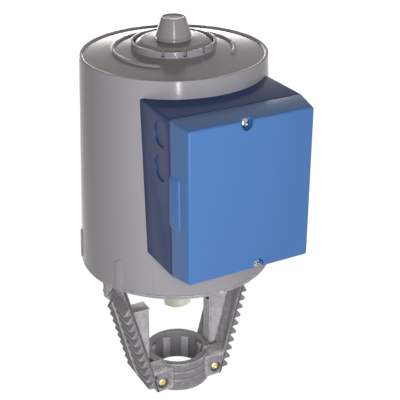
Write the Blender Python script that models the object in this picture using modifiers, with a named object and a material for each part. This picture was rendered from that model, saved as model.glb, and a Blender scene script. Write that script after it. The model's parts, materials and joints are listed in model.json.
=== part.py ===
"""Electrohydraulic valve actuator: hood, terminal box, finned yoke and valve-neck clamp.

The origin is on the stem axis at the bottom face of the neck ring. +Z runs up the stem,
the terminal box faces -Y and the yoke's legs stand at +X and -X. Sizes are millimetres
and the helpers turn them into metres.
"""
import math

import bmesh
import bpy
from mathutils import Matrix

MM = 0.001
GAP = 0.3                      # left between pieces that touch
ROUND_BIG = 48                 # sides of the hood, base plate and what fits them
ROUND = 22                     # sides of the other round pieces
ROUND_SMALL = 14               # sides of screws and their holes

# Housing
RIM_Z = 136.0                  # underside of the base plate
HOOD_BOTTOM_R = 86.2
HOOD_TOP_R = 79.0
HOOD_TOP_Z = 326.8
HOOD_WALL = 3.0
BASE_LIP = 3.0                 # height of the base plate's visible edge
STEM_HOLE_R = 11.3
SCREW_HOLE_R = 2.8             # for the screws of the yoke and the clamp
BASE_TOP_Z = 147.0
DECK_Z = HOOD_TOP_Z - 1.5      # recessed top surface, at its edge and inside the collar
DECK_RISE = 0.14               # rise of the deck per millimetre towards the collar
DECK_THICK = 4.0
SPINDLE_HOLE_R = 12.5
COLLAR_R = 36.0
COLLAR_WALL = 2.5
COLLAR_TOP_Z = HOOD_TOP_Z + 9.5
COLLAR_SLOTS = (-131, -102, -73, 30, 62)   # degrees round the collar
SLOT_HALF = 1.6
SLOT_DEPTH = 4.6
RIB_R = (49.5, 52.5)
RIB_HEIGHT = 1.5
RIB_ARC = (-45.0, 231.0)       # degrees, counter-clockwise from +X

# Adjuster
CAP_R = 32.4
CAP_FLAT_R = 27.4              # the cap slopes down outside this radius
CAP_EDGE_Z = HOOD_TOP_Z + 4.7
CAP_TOP_Z = HOOD_TOP_Z + 10.5
HUB_R = 14.0
HUB_TOP_Z = CAP_TOP_Z + 2.0
KNOB_BASE_R = 15.0
KNOB_TOP_R = 10.2
KNOB_TOP_Z = 355.8
SPINDLE_R = 6.0

# Terminal box
BOX_HALF_X = 57.8
BOX_Z = (178.3, 312.2)
BOX_BACK_Y = -50.0
JOINT_Y = -105.8
COVER_FRONT_Y = -129.5
COVER_SIDE_INSET = 3.6
COVER_END_INSET = 3.0
BASE_WALL = 4.0
COVER_WALL = 2.5
COVER_SCREWS = {"cover_screw_top": (-5.0, 306.0, 1), "cover_screw_bottom": (8.4, 184.4, -1)}
KNOCKOUT_R = 10.25
KNOCKOUT_Y = -90.0
KNOCKOUT_Z = (266.5, 295.0)
KNOCKOUT_DEPTH = 1.2
GRIP_Z = (225.0, 266.0)        # raised grip pads on the cover's sides
GRIP_PAD = ((56.5, -107.2), (59.0, -107.2), (57.1, -118.6), (54.7, -118.6))
BOX_SCREW_Z = (232.0, 292.0)
BOX_SCREW_HOLE_R = 2.3
CABLE_HOLE_R = 8.3
HEAD_POCKET_R = 4.7            # sinkings for the cover's screw heads
HEAD_POCKET_DEPTH = 5.0
GROMMET_Z = 262.0
BOARD_Y = -97.0
BOARD_X = 48.0
BOARD_Z = (198.0, 300.0)
POST_X = 44.0
EARTH_AT = (40.0, 189.0)

# Yoke and neck clamp
LEG_X0 = 33.6                  # outer face of a leg at z = 0
LEG_SLOPE = 0.2563             # how far the leg leans out per millimetre of height
LEG_WALL = 3.0
LEG_HALF_Y = 26.0
LEG_BOTTOM_Z = 3.5
FLANGE_Z = 131.0
FIN_PITCH = 8.7
FIN_REACH = 7.0
FIN_COUNT = 11
FIN_BOTTOM_Z = 9.5
WEB_HALF_Y = 6.5
WEB_X = 32.0
SHORT_WEB_TOP = 86.0           # the left web ends here, the right one at the flange
NECK_R = 31.0
NECK_TOP_Z = 30.0
NECK_BORE_R = 25.0
NECK_RIB_R = 22.5
NECK_RIB_WIDTH = 7.0
CLAMP_HALF_X = 23.0            # half width of the clamp's full-height bow
CLAMP_SPLIT_Y = -13.7
CLAMP_SCREW = (28.2, -25.0, 12.4)   # the end face of the right screw's head
CLAMP_POCKET_R = 5.4
CLAMP_POCKET_DEPTH = 3.8
EAR_TOP_Z = 26.7
YOKE_SCREWS = {                # x, y, underside of the head
    "yoke_screw_right_front": (60.5, -18.0, 95.0),
    "yoke_screw_left_rear": (-60.5, 18.0, 95.0),
    "yoke_screw_right_rear": (48.0, 17.0, FLANGE_Z),
    "yoke_screw_left_front": (-48.0, -17.0, FLANGE_Z),
}

# Stem and coupling
STEM_R = 7.0
THREAD_R = 5.0
COUPLING_Z = (81.0, 99.0)
COUPLING_FLATS = 24.0
LOCK_NUT_FLATS = 20.0

# Hydraulics
CYLINDER_R = 30.0
CYLINDER_BORE = 26.0
CYLINDER_Z = (171.0, 258.0)
CYLINDER_FLOOR = 6.0
SPRING_SEAT_R = 44.0
SPRING_R = 38.0
SPRING_WIRE_R = 3.0
SPRING_TURNS = 7
PISTON_Z = (200.0, 214.0)
PISTON_ROD_R = 10.0
PISTON_ROD_BORE = 7.0
PUMP_BLOCK_Z = (270.0, 294.0)
PUMP_BLOCK_R = 72.0
TIE_ROD_R = 5.0
TIE_ROD_CIRCLE = 66.0
TIE_ROD_ANGLES = (90.0, 210.0, 330.0)
MOTOR_AT = (58.0, 150.0)       # circle radius and angle
MOTOR_R = 13.0
COIL_AT = (60.0, 30.0)
COIL_R = 12.0


def clear_scene():
    for item in list(bpy.data.objects):
        bpy.data.objects.remove(item, do_unlink=True)


def new_collection(name):
    group = bpy.data.collections.new(name)
    bpy.context.scene.collection.children.link(group)
    return group


def material(name, colour, roughness, metallic=0.0):
    mat = bpy.data.materials.new(name)
    mat.use_nodes = True
    shader = mat.node_tree.nodes["Principled BSDF"]
    shader.inputs["Base Color"].default_value = colour
    shader.inputs["Roughness"].default_value = roughness
    shader.inputs["Metallic"].default_value = metallic
    mat.diffuse_color = colour
    return mat


def place(name, mesh, at=(0, 0, 0), turn=(0, 0, 0)):
    """Link a mesh as an object at a place in millimetres, turned by Euler degrees."""
    item = bpy.data.objects.new(name, mesh)
    item.location = [value * MM for value in at]
    item.rotation_euler = [math.radians(value) for value in turn]
    PARTS.objects.link(item)
    return item


def evaluated(item, name):
    """The item's evaluated mesh, welded, shaded smooth with sharp corners kept."""
    bpy.context.view_layer.update()
    graph = bpy.context.evaluated_depsgraph_get()
    mesh = bpy.data.meshes.new_from_object(item.evaluated_get(graph))
    mesh.name = name
    work = bmesh.new()
    work.from_mesh(mesh)
    bmesh.ops.remove_doubles(work, verts=work.verts, dist=0.000001)
    bmesh.ops.recalc_face_normals(work, faces=work.faces)
    work.to_mesh(mesh)
    work.free()
    mesh.shade_smooth()
    mesh.set_sharp_from_angle(angle=math.radians(35))
    bpy.data.objects.remove(item)
    return mesh


def turned(name, profile, segments=ROUND, at=(0, 0, 0), turn=(0, 0, 0)):
    """Revolve a profile of (radius, z) points about Z.

    It runs down the outer side first. It closes on itself unless it starts on the axis.
    """
    mesh = bpy.data.meshes.new(name)
    count = len(profile)
    edges = [(i, i + 1) for i in range(count - 1)]
    if profile[0][0] > 0:
        edges.append((count - 1, 0))
    mesh.from_pydata([(r * MM, 0, z * MM) for r, z in profile], edges, [])
    item = place(name, mesh)
    screw = item.modifiers.new("turn", "SCREW")
    screw.steps = screw.render_steps = segments
    screw.use_merge_vertices = True
    screw.merge_threshold = 0.000001
    return place(name, evaluated(item, name), at, turn)


def rod(name, radius, z0, z1, segments=ROUND, at=(0, 0, 0), turn=(0, 0, 0)):
    return turned(name, [(0, z1), (radius, z1), (radius, z0), (0, z0)], segments, at, turn)


def ring(name, outer, inner, z0, z1, segments=ROUND, at=(0, 0, 0), turn=(0, 0, 0)):
    profile = [(outer, z1), (outer, z0), (inner, z0), (inner, z1)]
    return turned(name, profile, segments, at, turn)


def box(name, x, y, z, turn=(0, 0, 0)):
    """A box between pairs of coordinates."""
    mesh = bpy.data.meshes.new(name)
    work = bmesh.new()
    bmesh.ops.create_cube(work, size=1)
    size = [(high - low) * MM for low, high in (x, y, z)]
    bmesh.ops.scale(work, vec=size, verts=work.verts)
    work.to_mesh(mesh)
    work.free()
    return place(name, mesh, [(low + high) / 2 for low, high in (x, y, z)], turn)


def prism(name, outline, low, high, at=(0, 0, 0), turn=(0, 0, 0)):
    """Extrude an outline of (x, y) points along Z from low to high."""
    curve = bpy.data.curves.new(name, "CURVE")
    curve.dimensions = "2D"
    curve.fill_mode = "BOTH"
    curve.extrude = (high - low) / 2 * MM
    spline = curve.splines.new("POLY")
    spline.points.add(len(outline) - 1)
    for point, (x, y) in zip(spline.points, outline):
        point.co = (x * MM, y * MM, 0, 1)
    spline.use_cyclic_u = True
    item = bpy.data.objects.new(name, curve)
    PARTS.objects.link(item)
    mesh = evaluated(item, name)
    mesh.transform(Matrix.Translation((0, 0, (high + low) / 2 * MM)))
    return place(name, mesh, at, turn)


def side_prism(name, outline, y0, y1):
    """Extrude an outline of (x, z) points along Y. Turned by 90 degrees, local Z is -Y."""
    return prism(name, outline, -y1, -y0, turn=(90, 0, 0))


def hexagon(flats):
    corner = flats / 2 / math.cos(math.radians(30))
    return [on_circle(corner, 60 * i + 12) for i in range(6)]


def arc(radius, start, end, count):
    """Points on an arc, in degrees from +X."""
    angles = [math.radians(start + (end - start) * i / (count - 1)) for i in range(count)]
    return [(radius * math.cos(a), radius * math.sin(a)) for a in angles]


def rounded_rectangle(half_x, z_range, radius):
    """Outline of (x, z) points with rounded corners, counter-clockwise."""
    low, high = z_range[0] + radius, z_range[1] - radius
    side = half_x - radius
    points = []
    for x, z, start in ((side, low, -90), (side, high, 0), (-side, high, 90), (-side, low, 180)):
        points += [(x + dx, z + dz) for dx, dz in arc(radius, start, start + 90, 4)]
    return points


def combine(target, tool, operation):
    """Join a tool to a target, cut it away, or keep what both share."""
    mod = target.modifiers.new(operation.lower() + " " + tool.name, "BOOLEAN")
    mod.operation = operation
    mod.object = tool
    tool.hide_render = True
    tool.display_type = "WIRE"
    PARTS.objects.unlink(tool)
    CUTTERS.objects.link(tool)


def join(target, tool):
    combine(target, tool, "UNION")


def cut(target, tool):
    combine(target, tool, "DIFFERENCE")


def keep(target, tool):
    combine(target, tool, "INTERSECT")


def paint(mat, *items):
    for item in items:
        item.data.materials.clear()
        item.data.materials.append(mat)


def on_circle(radius, angle):
    return (radius * math.cos(math.radians(angle)), radius * math.sin(math.radians(angle)))


def hood_radius(z):
    """Outer radius of the tapered hood at a height."""
    return HOOD_BOTTOM_R + (HOOD_TOP_R - HOOD_BOTTOM_R) * (z - RIM_Z) / (HOOD_TOP_Z - RIM_Z)


def deck_z(radius):
    """Height of the deck outside the collar, which rises gently inward."""
    return DECK_Z + DECK_RISE * (HOOD_TOP_R - HOOD_WALL - radius)


def hood_cone(name, offset):
    """A solid cone that follows the hood's outside at an offset, as tall as the box."""
    low, high = BOX_Z[0] - 10, BOX_Z[1] + 10
    bottom, top = hood_radius(low) + offset, hood_radius(high) + offset
    return turned(name, [(0, high), (top, high), (bottom, low), (0, low)], ROUND_BIG)


def leg_x(z):
    """Outer face of the right leg at a height."""
    return LEG_X0 + LEG_SLOPE * z


def screw_piece(name, head_r, head_h, shank_r, length, mat, at, turn=(0, 0, 0)):
    """A cap screw with a slotted head. The shank runs along local -Z from the origin."""
    dome = head_h * 0.75
    profile = [(0, head_h), (head_r * 0.7, head_h), (head_r, dome), (head_r, 0),
               (shank_r, 0), (shank_r, -length), (0, -length)]
    item = turned(name, profile, ROUND_SMALL, at, turn)
    slot = box(name + "_slot", (-head_r * 2, head_r * 2), (-0.6, 0.6), (0, head_h))
    slot.data.transform(Matrix.Translation((0, 0, head_h * 0.9 * MM)))
    slot.location = item.location
    slot.rotation_euler = item.rotation_euler
    cut(item, slot)
    paint(mat, item)
    return item


def build_hood():
    bottom = RIM_Z + BASE_LIP + GAP
    deck_low = DECK_Z - DECK_THICK
    collar_in = COLLAR_R - COLLAR_WALL
    hole = SPINDLE_HOLE_R
    profile = [
        (HOOD_TOP_R - 0.8, HOOD_TOP_Z), (hood_radius(HOOD_TOP_Z - 0.8), HOOD_TOP_Z - 0.8),
        (hood_radius(bottom), bottom), (hood_radius(bottom) - HOOD_WALL, bottom),
        (hood_radius(deck_low) - HOOD_WALL, deck_low),
        (COLLAR_R + 3, deck_z(COLLAR_R + 3) - DECK_THICK),
        (collar_in + 0.5, deck_low), (hole, deck_low), (hole, DECK_Z),
        (collar_in, DECK_Z), (collar_in, COLLAR_TOP_Z), (COLLAR_R, COLLAR_TOP_Z),
        (COLLAR_R, deck_z(COLLAR_R)), (HOOD_TOP_R - HOOD_WALL, DECK_Z),
        (HOOD_TOP_R - HOOD_WALL, HOOD_TOP_Z),
    ]
    hood = turned("hood", profile, ROUND_BIG)
    outline = arc(RIB_R[1], *RIB_ARC, 33) + arc(RIB_R[0], *reversed(RIB_ARC), 33)
    rib_foot = deck_z(RIB_R[0])
    join(hood, prism("top_rib", outline, rib_foot - 2, rib_foot + RIB_HEIGHT))
    for angle in COLLAR_SLOTS:
        slot = box("collar_slot", (-SLOT_HALF, SLOT_HALF), (-4, 4), (-SLOT_DEPTH, SLOT_DEPTH),
                   turn=(0, 0, angle - 90))
        x, y = on_circle(COLLAR_R - 1, angle)
        slot.location = (x * MM, y * MM, COLLAR_TOP_Z * MM)
        cut(hood, slot)
    for z in BOX_SCREW_Z:
        cut(hood, rod("hood_screw_hole", BOX_SCREW_HOLE_R, 70, 100, ROUND_SMALL, (0, 0, z), (90, 0, 0)))
    cut(hood, rod("hood_cable_hole", CABLE_HOLE_R, 70, 100, ROUND, (0, 0, GROMMET_Z), (90, 0, 0)))
    paint(PLASTIC_GREY, hood)


def build_base_plate():
    spigot = hood_radius(RIM_Z) - HOOD_WALL - 0.8
    profile = [
        (spigot, BASE_TOP_Z), (spigot, 144.5), (spigot - 1.5, 144.5), (spigot - 1.5, 141.5),
        (spigot, 141.5), (spigot, RIM_Z + BASE_LIP), (HOOD_BOTTOM_R - 0.2, RIM_Z + BASE_LIP),
        (HOOD_BOTTOM_R - 0.2, RIM_Z), (STEM_HOLE_R, RIM_Z), (STEM_HOLE_R, BASE_TOP_Z),
    ]
    plate = turned("base_plate", profile, ROUND_BIG)
    for x, y, _ in YOKE_SCREWS.values():
        cut(plate, rod("base_screw_hole", SCREW_HOLE_R, RIM_Z - 1, RIM_Z + 9, ROUND_SMALL, (x, y, 0)))
    seal = ring("hood_seal", spigot + 0.3, spigot - 1.2, 141.8, 144.2, ROUND_BIG)
    paint(CAST_GREY, plate)
    paint(RUBBER, seal)


def leg_outline():
    """Leaning wall with saw-tooth fins: each fin has a flat underside and a sloping top."""
    points = [(leg_x(FLANGE_Z + 1) - LEG_WALL, FLANGE_Z + 1),
              (leg_x(LEG_BOTTOM_Z) - LEG_WALL, LEG_BOTTOM_Z), (leg_x(LEG_BOTTOM_Z), LEG_BOTTOM_Z)]
    for i in range(FIN_COUNT):
        z = FIN_BOTTOM_Z + i * FIN_PITCH
        points.append((leg_x(z), z))
        points.append((leg_x(z) + FIN_REACH, z))
        points.append((leg_x(z) + FIN_REACH, z + 0.9))
        points.append((leg_x(z + FIN_PITCH * 0.88), z + FIN_PITCH * 0.88))
    points.append((leg_x(FLANGE_Z + 1), FLANGE_Z + 1))
    return points


def web_outline(top):
    low = NECK_TOP_Z - 5
    return [(WEB_X, low), (leg_x(low) - 1, low), (leg_x(top) - 1, top), (WEB_X, top)]


def mirrored(outline):
    return [(-x, z) for x, z in outline]


def neck_solid(name):
    """The neck ring before it is bored, with two grooves round its outside."""
    deep = NECK_R - 1.5
    profile = [(0, NECK_TOP_Z), (NECK_R, NECK_TOP_Z)]
    for z in (22.0, 13.4):
        profile += [(NECK_R, z + 1.0), (deep, z + 0.6), (deep, z - 0.6), (NECK_R, z - 1.0)]
    profile += [(NECK_R, 1.0), (NECK_R - 1, 0), (0, 0)]
    return turned(name, profile, ROUND_BIG)


def add_neck_ribs(target, angles):
    """Claws inside the bore that hold the valve neck."""
    for angle in angles:
        claw = box("claw", (NECK_RIB_R, NECK_BORE_R + 2), (-NECK_RIB_WIDTH / 2, NECK_RIB_WIDTH / 2),
                   (2, 26))
        claw.data.transform(Matrix.Translation(claw.location))
        claw.location = (0, 0, 0)
        claw.rotation_euler = (0, 0, math.radians(angle))
        join(target, claw)


def build_yoke():
    yoke = side_prism("yoke", leg_outline(), -LEG_HALF_Y, LEG_HALF_Y)
    mirror = yoke.modifiers.new("other leg", "MIRROR")
    mirror.use_axis[0] = True
    mirror.merge_threshold = 0.000001

    top = NECK_TOP_Z - 0.4
    blocks = side_prism("neck_block", [
        (-leg_x(LEG_BOTTOM_Z) + 1, LEG_BOTTOM_Z + 0.4), (leg_x(LEG_BOTTOM_Z) - 1, LEG_BOTTOM_Z + 0.4),
        (leg_x(top) - 1, top), (-leg_x(top) + 1, top),
    ], -LEG_HALF_Y + 0.4, LEG_HALF_Y - 0.4)
    join(yoke, blocks)
    neck = neck_solid("rear_neck")
    keep(neck, box("rear_side", (-40, 40), (CLAMP_SPLIT_Y, 40), (-5, 40)))
    join(yoke, neck)
    cut(yoke, rod("neck_bore", NECK_BORE_R, -5, 40, ROUND_BIG))
    notch = CLAMP_HALF_X + GAP
    cut(yoke, box("clamp_notch", (-notch, notch), (-40, CLAMP_SPLIT_Y), (-5, 40)))
    ears = (-LEG_HALF_Y - 1, CLAMP_SPLIT_Y)
    cut(yoke, box("ear_room", (-60, 60), ears, (-5, EAR_TOP_Z + GAP)))
    add_neck_ribs(yoke, (0, 45, 90, 135, 180))

    join(yoke, side_prism("right_web", web_outline(FLANGE_Z + 1), -WEB_HALF_Y, WEB_HALF_Y))
    join(yoke, side_prism("left_web", mirrored(web_outline(SHORT_WEB_TOP - 0.8)), -WEB_HALF_Y, WEB_HALF_Y))
    shelf_x = -leg_x(SHORT_WEB_TOP) + 1
    join(yoke, box("shelf", (shelf_x, -WEB_X + 1), (-WEB_HALF_Y - 0.8, WEB_HALF_Y + 0.8),
                   (SHORT_WEB_TOP - 1.5, SHORT_WEB_TOP)))
    fin_top = FIN_BOTTOM_Z + (FIN_COUNT - 1) * FIN_PITCH + 3
    for side in (1, -1):
        spine = [(side * (leg_x(z) + reach), z) for z, reach in (
            (FIN_BOTTOM_Z - 0.5, -1), (FIN_BOTTOM_Z - 0.5, FIN_REACH + 0.4),
            (fin_top, FIN_REACH + 0.4), (fin_top, -1))]
        join(yoke, side_prism("spine", spine, -1.8, 1.8))
        flange_x = sorted((side * 40.0, side * 74.0))
        join(yoke, box("flange", flange_x, (-LEG_HALF_Y - 0.5, LEG_HALF_Y + 0.5),
                       (FLANGE_Z, RIM_Z - GAP)))

    for x, y, head_z in YOKE_SCREWS.values():
        if head_z < FLANGE_Z:
            room_x = x + math.copysign(1, x)
            cut(yoke, rod("screw_room", 7.5, head_z - 8, FLANGE_Z - 0.5, ROUND_SMALL, (room_x, y, 0)))
            join(yoke, rod("screw_boss", 5.5, head_z + GAP, FLANGE_Z + 1, ROUND_SMALL, (x, y, 0)))
        cut(yoke, rod("screw_hole", SCREW_HOLE_R, head_z - 10, RIM_Z + 1, ROUND_SMALL, (x, y, 0)))
    for side in (1, -1):
        x = side * CLAMP_SCREW[0]
        cut(yoke, rod("clamp_thread", SCREW_HOLE_R, 0, 20, ROUND_SMALL, (x, 0, CLAMP_SCREW[2]), (90, 0, 0)))
    paint(CAST_GREY, yoke)

    for name, (x, y, head_z) in YOKE_SCREWS.items():
        length = RIM_Z + 8 - head_z
        screw_piece(name, 4.5, 3.5, 2.5, length, YELLOW_ZINC, (x, y, head_z), (180, 0, 0))
    scale = box("scale_plate", (WEB_X - 1.3, WEB_X - GAP), (-5.5, 5.5), (76, 118))
    paint(BLACK_PLASTIC, scale)


def build_clamp():
    bracket = neck_solid("clamp_bracket")
    bow = (-CLAMP_HALF_X, CLAMP_HALF_X)
    front = CLAMP_SPLIT_Y - GAP
    keep(bracket, box("bow_side", bow, (-40, front), (-5, 40)))
    ear = [(17, LEG_BOTTOM_Z), (leg_x(LEG_BOTTOM_Z), LEG_BOTTOM_Z),
           (leg_x(EAR_TOP_Z), EAR_TOP_Z), (17, EAR_TOP_Z)]
    for side, outline in ((1, ear), (-1, mirrored(ear))):
        join(bracket, side_prism("ear", outline, -LEG_HALF_Y, front))
    cut(bracket, rod("clamp_bore", NECK_BORE_R, -5, 40, ROUND_BIG))
    add_neck_ribs(bracket, (225, 270, 315))
    screw_x, face_y, screw_z = CLAMP_SCREW
    seat_y = -face_y - CLAMP_POCKET_DEPTH
    for side, name in ((1, "clamp_screw_right"), (-1, "clamp_screw_left")):
        at = (side * screw_x, 0, screw_z)
        cut(bracket, rod("screw_pocket", CLAMP_POCKET_R, seat_y, 40, ROUND, at, (90, 0, 0)))
        cut(bracket, rod("screw_way", SCREW_HOLE_R, 0, 40, ROUND_SMALL, at, (90, 0, 0)))
        pocket = (side * 36.5, 0, EAR_TOP_Z - 6)
        cut(bracket, rod("ear_pocket", 2.6, 21, 40, ROUND_SMALL, pocket, (90, 0, 0)))
        place_at = (side * screw_x, -seat_y - GAP, screw_z)
        screw_piece(name, 4.4, 3.5, 2.5, 15, YELLOW_ZINC, place_at, (90, 0, 0))
    paint(CAST_GREY, bracket)


def build_stem():
    bush = turned("stem_bush", [
        (11, 150), (11, RIM_Z - GAP), (14, RIM_Z - GAP), (14, 130.7), (10.3, 130.7),
        (10.3, 133.7), (STEM_R + GAP, 133.7), (STEM_R + GAP, 150)])
    wiper = ring("stem_wiper", 10.0, STEM_R + GAP, 130.9, 133.4)
    low, high = COUPLING_Z
    stem = turned("stem", [
        (0, CYLINDER_Z[0] - GAP), (STEM_R, CYLINDER_Z[0] - GAP), (STEM_R, 112),
        (THREAD_R, 111), (THREAD_R, 95), (0, 95)])
    nut = prism("coupling_nut", hexagon(COUPLING_FLATS), low, high)
    tip_r, wide_r = COUPLING_FLATS / 2 - 3, COUPLING_FLATS / 2 + 4
    keep(nut, turned("nut_chamfer", [
        (0, high + 2), (tip_r, high + 2), (wide_r, high - 2.4), (wide_r, low + 2.4),
        (tip_r, low - 2), (0, low - 2)]))
    cut(nut, rod("nut_socket", 7.5, low - 1, low + 13))
    cut(nut, rod("nut_thread", THREAD_R + GAP, low, high + 1))
    lock = prism("lock_nut", hexagon(LOCK_NUT_FLATS), high + GAP, high + 6)
    cut(lock, rod("lock_thread", THREAD_R + GAP, high - 1, high + 8))
    pointer = ring("travel_pointer", 9, THREAD_R + GAP, high + 6.3, high + 9)
    join(pointer, box("finger", (8, WEB_X - 1.8), (-1.2, 1.2), (high + 6.3, high + 9)))
    paint(BRASS, bush)
    paint(RUBBER, wiper)
    paint(STEEL, stem)
    paint(PALE_ZINC, nut, lock)
    paint(RED_PLASTIC, pointer)


def build_hydraulics():
    low, high = CYLINDER_Z
    seat = high - 6
    cylinder = turned("pressure_cylinder", [
        (SPRING_SEAT_R, high), (SPRING_SEAT_R, seat), (CYLINDER_R, seat), (CYLINDER_R, low),
        (5, low), (5, low + CYLINDER_FLOOR), (CYLINDER_BORE, low + CYLINDER_FLOOR),
        (CYLINDER_BORE, high)])
    gland = ring("cylinder_gland", CYLINDER_BORE - GAP, PISTON_ROD_R + GAP, 244, 257)
    block_low, block_high = PUMP_BLOCK_Z
    piston_rod = turned("piston_rod", [
        (16, block_high + 4), (16, block_high + GAP), (PISTON_ROD_R, block_high + GAP),
        (PISTON_ROD_R, 193), (PISTON_ROD_BORE, 193), (PISTON_ROD_BORE, block_high + 4)])
    piston = turned("piston", [
        (CYLINDER_BORE - GAP, PISTON_Z[1]), (CYLINDER_BORE - GAP, 209), (23.5, 209), (23.5, 205),
        (CYLINDER_BORE - GAP, 205), (CYLINDER_BORE - GAP, PISTON_Z[0]),
        (PISTON_ROD_R + GAP, PISTON_Z[0]), (PISTON_ROD_R + GAP, PISTON_Z[1])])
    seal = ring("piston_seal", CYLINDER_BORE - 0.2, 23.8, 205.3, 208.7)
    nut = prism("piston_nut", hexagon(30), 193.5, PISTON_Z[0] - GAP)
    cut(nut, rod("piston_nut_thread", PISTON_ROD_R + GAP, 190, 202))
    push = turned("push_nut", [
        (6.7, 232), (6.7, 181), (12, 181), (12, low + CYLINDER_FLOOR + GAP),
        (4.2, low + CYLINDER_FLOOR + GAP), (4.2, 232)])

    block = ring("pump_block", PUMP_BLOCK_R, PISTON_ROD_R + GAP, block_low, block_high, 36)
    for i, angle in enumerate(TIE_ROD_ANGLES, 1):
        x, y = on_circle(TIE_ROD_CIRCLE, angle)
        tie = rod(f"tie_rod_{i}", TIE_ROD_R, BASE_TOP_Z + GAP, block_low - GAP, ROUND_SMALL, (x, y, 0))
        paint(STEEL, tie)
    x, y = on_circle(*MOTOR_AT)
    top = block_low - GAP
    motor = turned("pump_motor", [
        (MOTOR_R, top), (MOTOR_R, 205), (4, 205), (4, 208), (MOTOR_R - 2, 208),
        (MOTOR_R - 2, top)], ROUND, (x, y, 0))
    rotor = turned("pump_rotor", [
        (0, 268), (2.5, 268), (2.5, 262), (9.5, 262), (9.5, 212), (2.5, 212), (2.5, 199), (0, 199)],
        ROUND, (x, y, 0))
    x, y = on_circle(*COIL_AT)
    coil = ring("solenoid_coil", COIL_R, 4.5, 225, top, ROUND, (x, y, 0))
    plunger = turned("valve_plunger", [
        (0, 262), (4, 262), (4, 222), (6.5, 222), (6.5, 216), (0, 216)], ROUND_SMALL, (x, y, 0))
    paint(STEEL, cylinder, piston_rod, push, nut, rotor, plunger)
    paint(BRASS, gland)
    paint(ALUMINIUM, piston, block, motor)
    paint(RUBBER, seal)
    paint(BLACK_PLASTIC, coil)


def build_spring():
    """A helix with its end turns lying flat on the two seats."""
    low = BASE_TOP_Z + GAP + SPRING_WIRE_R
    high = CYLINDER_Z[1] - 6 - GAP - SPRING_WIRE_R
    per_turn = 12
    count = SPRING_TURNS * per_turn + 1
    rising = count - 1 - 2 * per_turn
    curve = bpy.data.curves.new("return_spring", "CURVE")
    curve.dimensions = "3D"
    curve.bevel_depth = SPRING_WIRE_R * MM
    curve.bevel_resolution = 2
    curve.use_fill_caps = True
    spline = curve.splines.new("POLY")
    spline.points.add(count - 1)
    closed_turn = 2.2 * SPRING_WIRE_R
    for i, point in enumerate(spline.points):
        angle = 2 * math.pi * i / per_turn
        if i < per_turn:
            z = low + closed_turn * (i / per_turn) ** 2
        elif i > count - 1 - per_turn:
            z = high - closed_turn * ((count - 1 - i) / per_turn) ** 2
        else:
            z = low + closed_turn + (high - low - 2 * closed_turn) * (i - per_turn) / rising
        x, y = SPRING_R * math.cos(angle), SPRING_R * math.sin(angle)
        point.co = (x * MM, y * MM, z * MM, 1)
    item = bpy.data.objects.new("return_spring", curve)
    PARTS.objects.link(item)
    spring = place("return_spring", evaluated(item, "return_spring"))
    paint(SPRING_STEEL, spring)


def build_adjuster():
    deck_low = DECK_Z - DECK_THICK
    bush = turned("spindle_bush", [
        (12.2, DECK_Z), (12.2, deck_low - GAP), (16, deck_low - GAP), (16, deck_low - 3.3),
        (SPINDLE_R + GAP, deck_low - 3.3), (SPINDLE_R + GAP, DECK_Z)])
    collar = PUMP_BLOCK_Z[1] + 4 + GAP
    washer = ring("thrust_washer", 11.5, SPINDLE_R + GAP, collar + 4 + GAP, collar + 5.8)
    spindle = turned("adjuster_spindle", [
        (0, 345), (5, 345), (SPINDLE_R, 343), (SPINDLE_R, collar + 4), (11, collar + 4),
        (11, collar), (3.9, collar), (3.9, 205), (0, 205)])
    cap = turned("adjuster_cap", [
        (HUB_R, HUB_TOP_Z), (HUB_R, CAP_TOP_Z), (CAP_FLAT_R, CAP_TOP_Z), (CAP_R, CAP_TOP_Z - 2.6),
        (CAP_R, CAP_EDGE_Z), (CAP_R - 2, CAP_EDGE_Z), (CAP_R - 2, CAP_TOP_Z - 3.5),
        (CAP_FLAT_R - 1, CAP_TOP_Z - 2), (10, CAP_TOP_Z - 2), (10, 328),
        (SPINDLE_R + GAP, 328), (SPINDLE_R + GAP, HUB_TOP_Z)], 36)
    base = HUB_TOP_Z + GAP
    knob = turned("adjuster_knob", [
        (0, KNOB_TOP_Z), (KNOB_TOP_R - 1.2, KNOB_TOP_Z), (KNOB_TOP_R, KNOB_TOP_Z - 1.2),
        (KNOB_BASE_R, base + 1.2), (KNOB_BASE_R, base), (SPINDLE_R + GAP, base),
        (SPINDLE_R + GAP, 346), (0, 346)])
    paint(BRASS, bush)
    paint(STEEL, washer, spindle)
    paint(KNOB_GREY, cap, knob)


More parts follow.
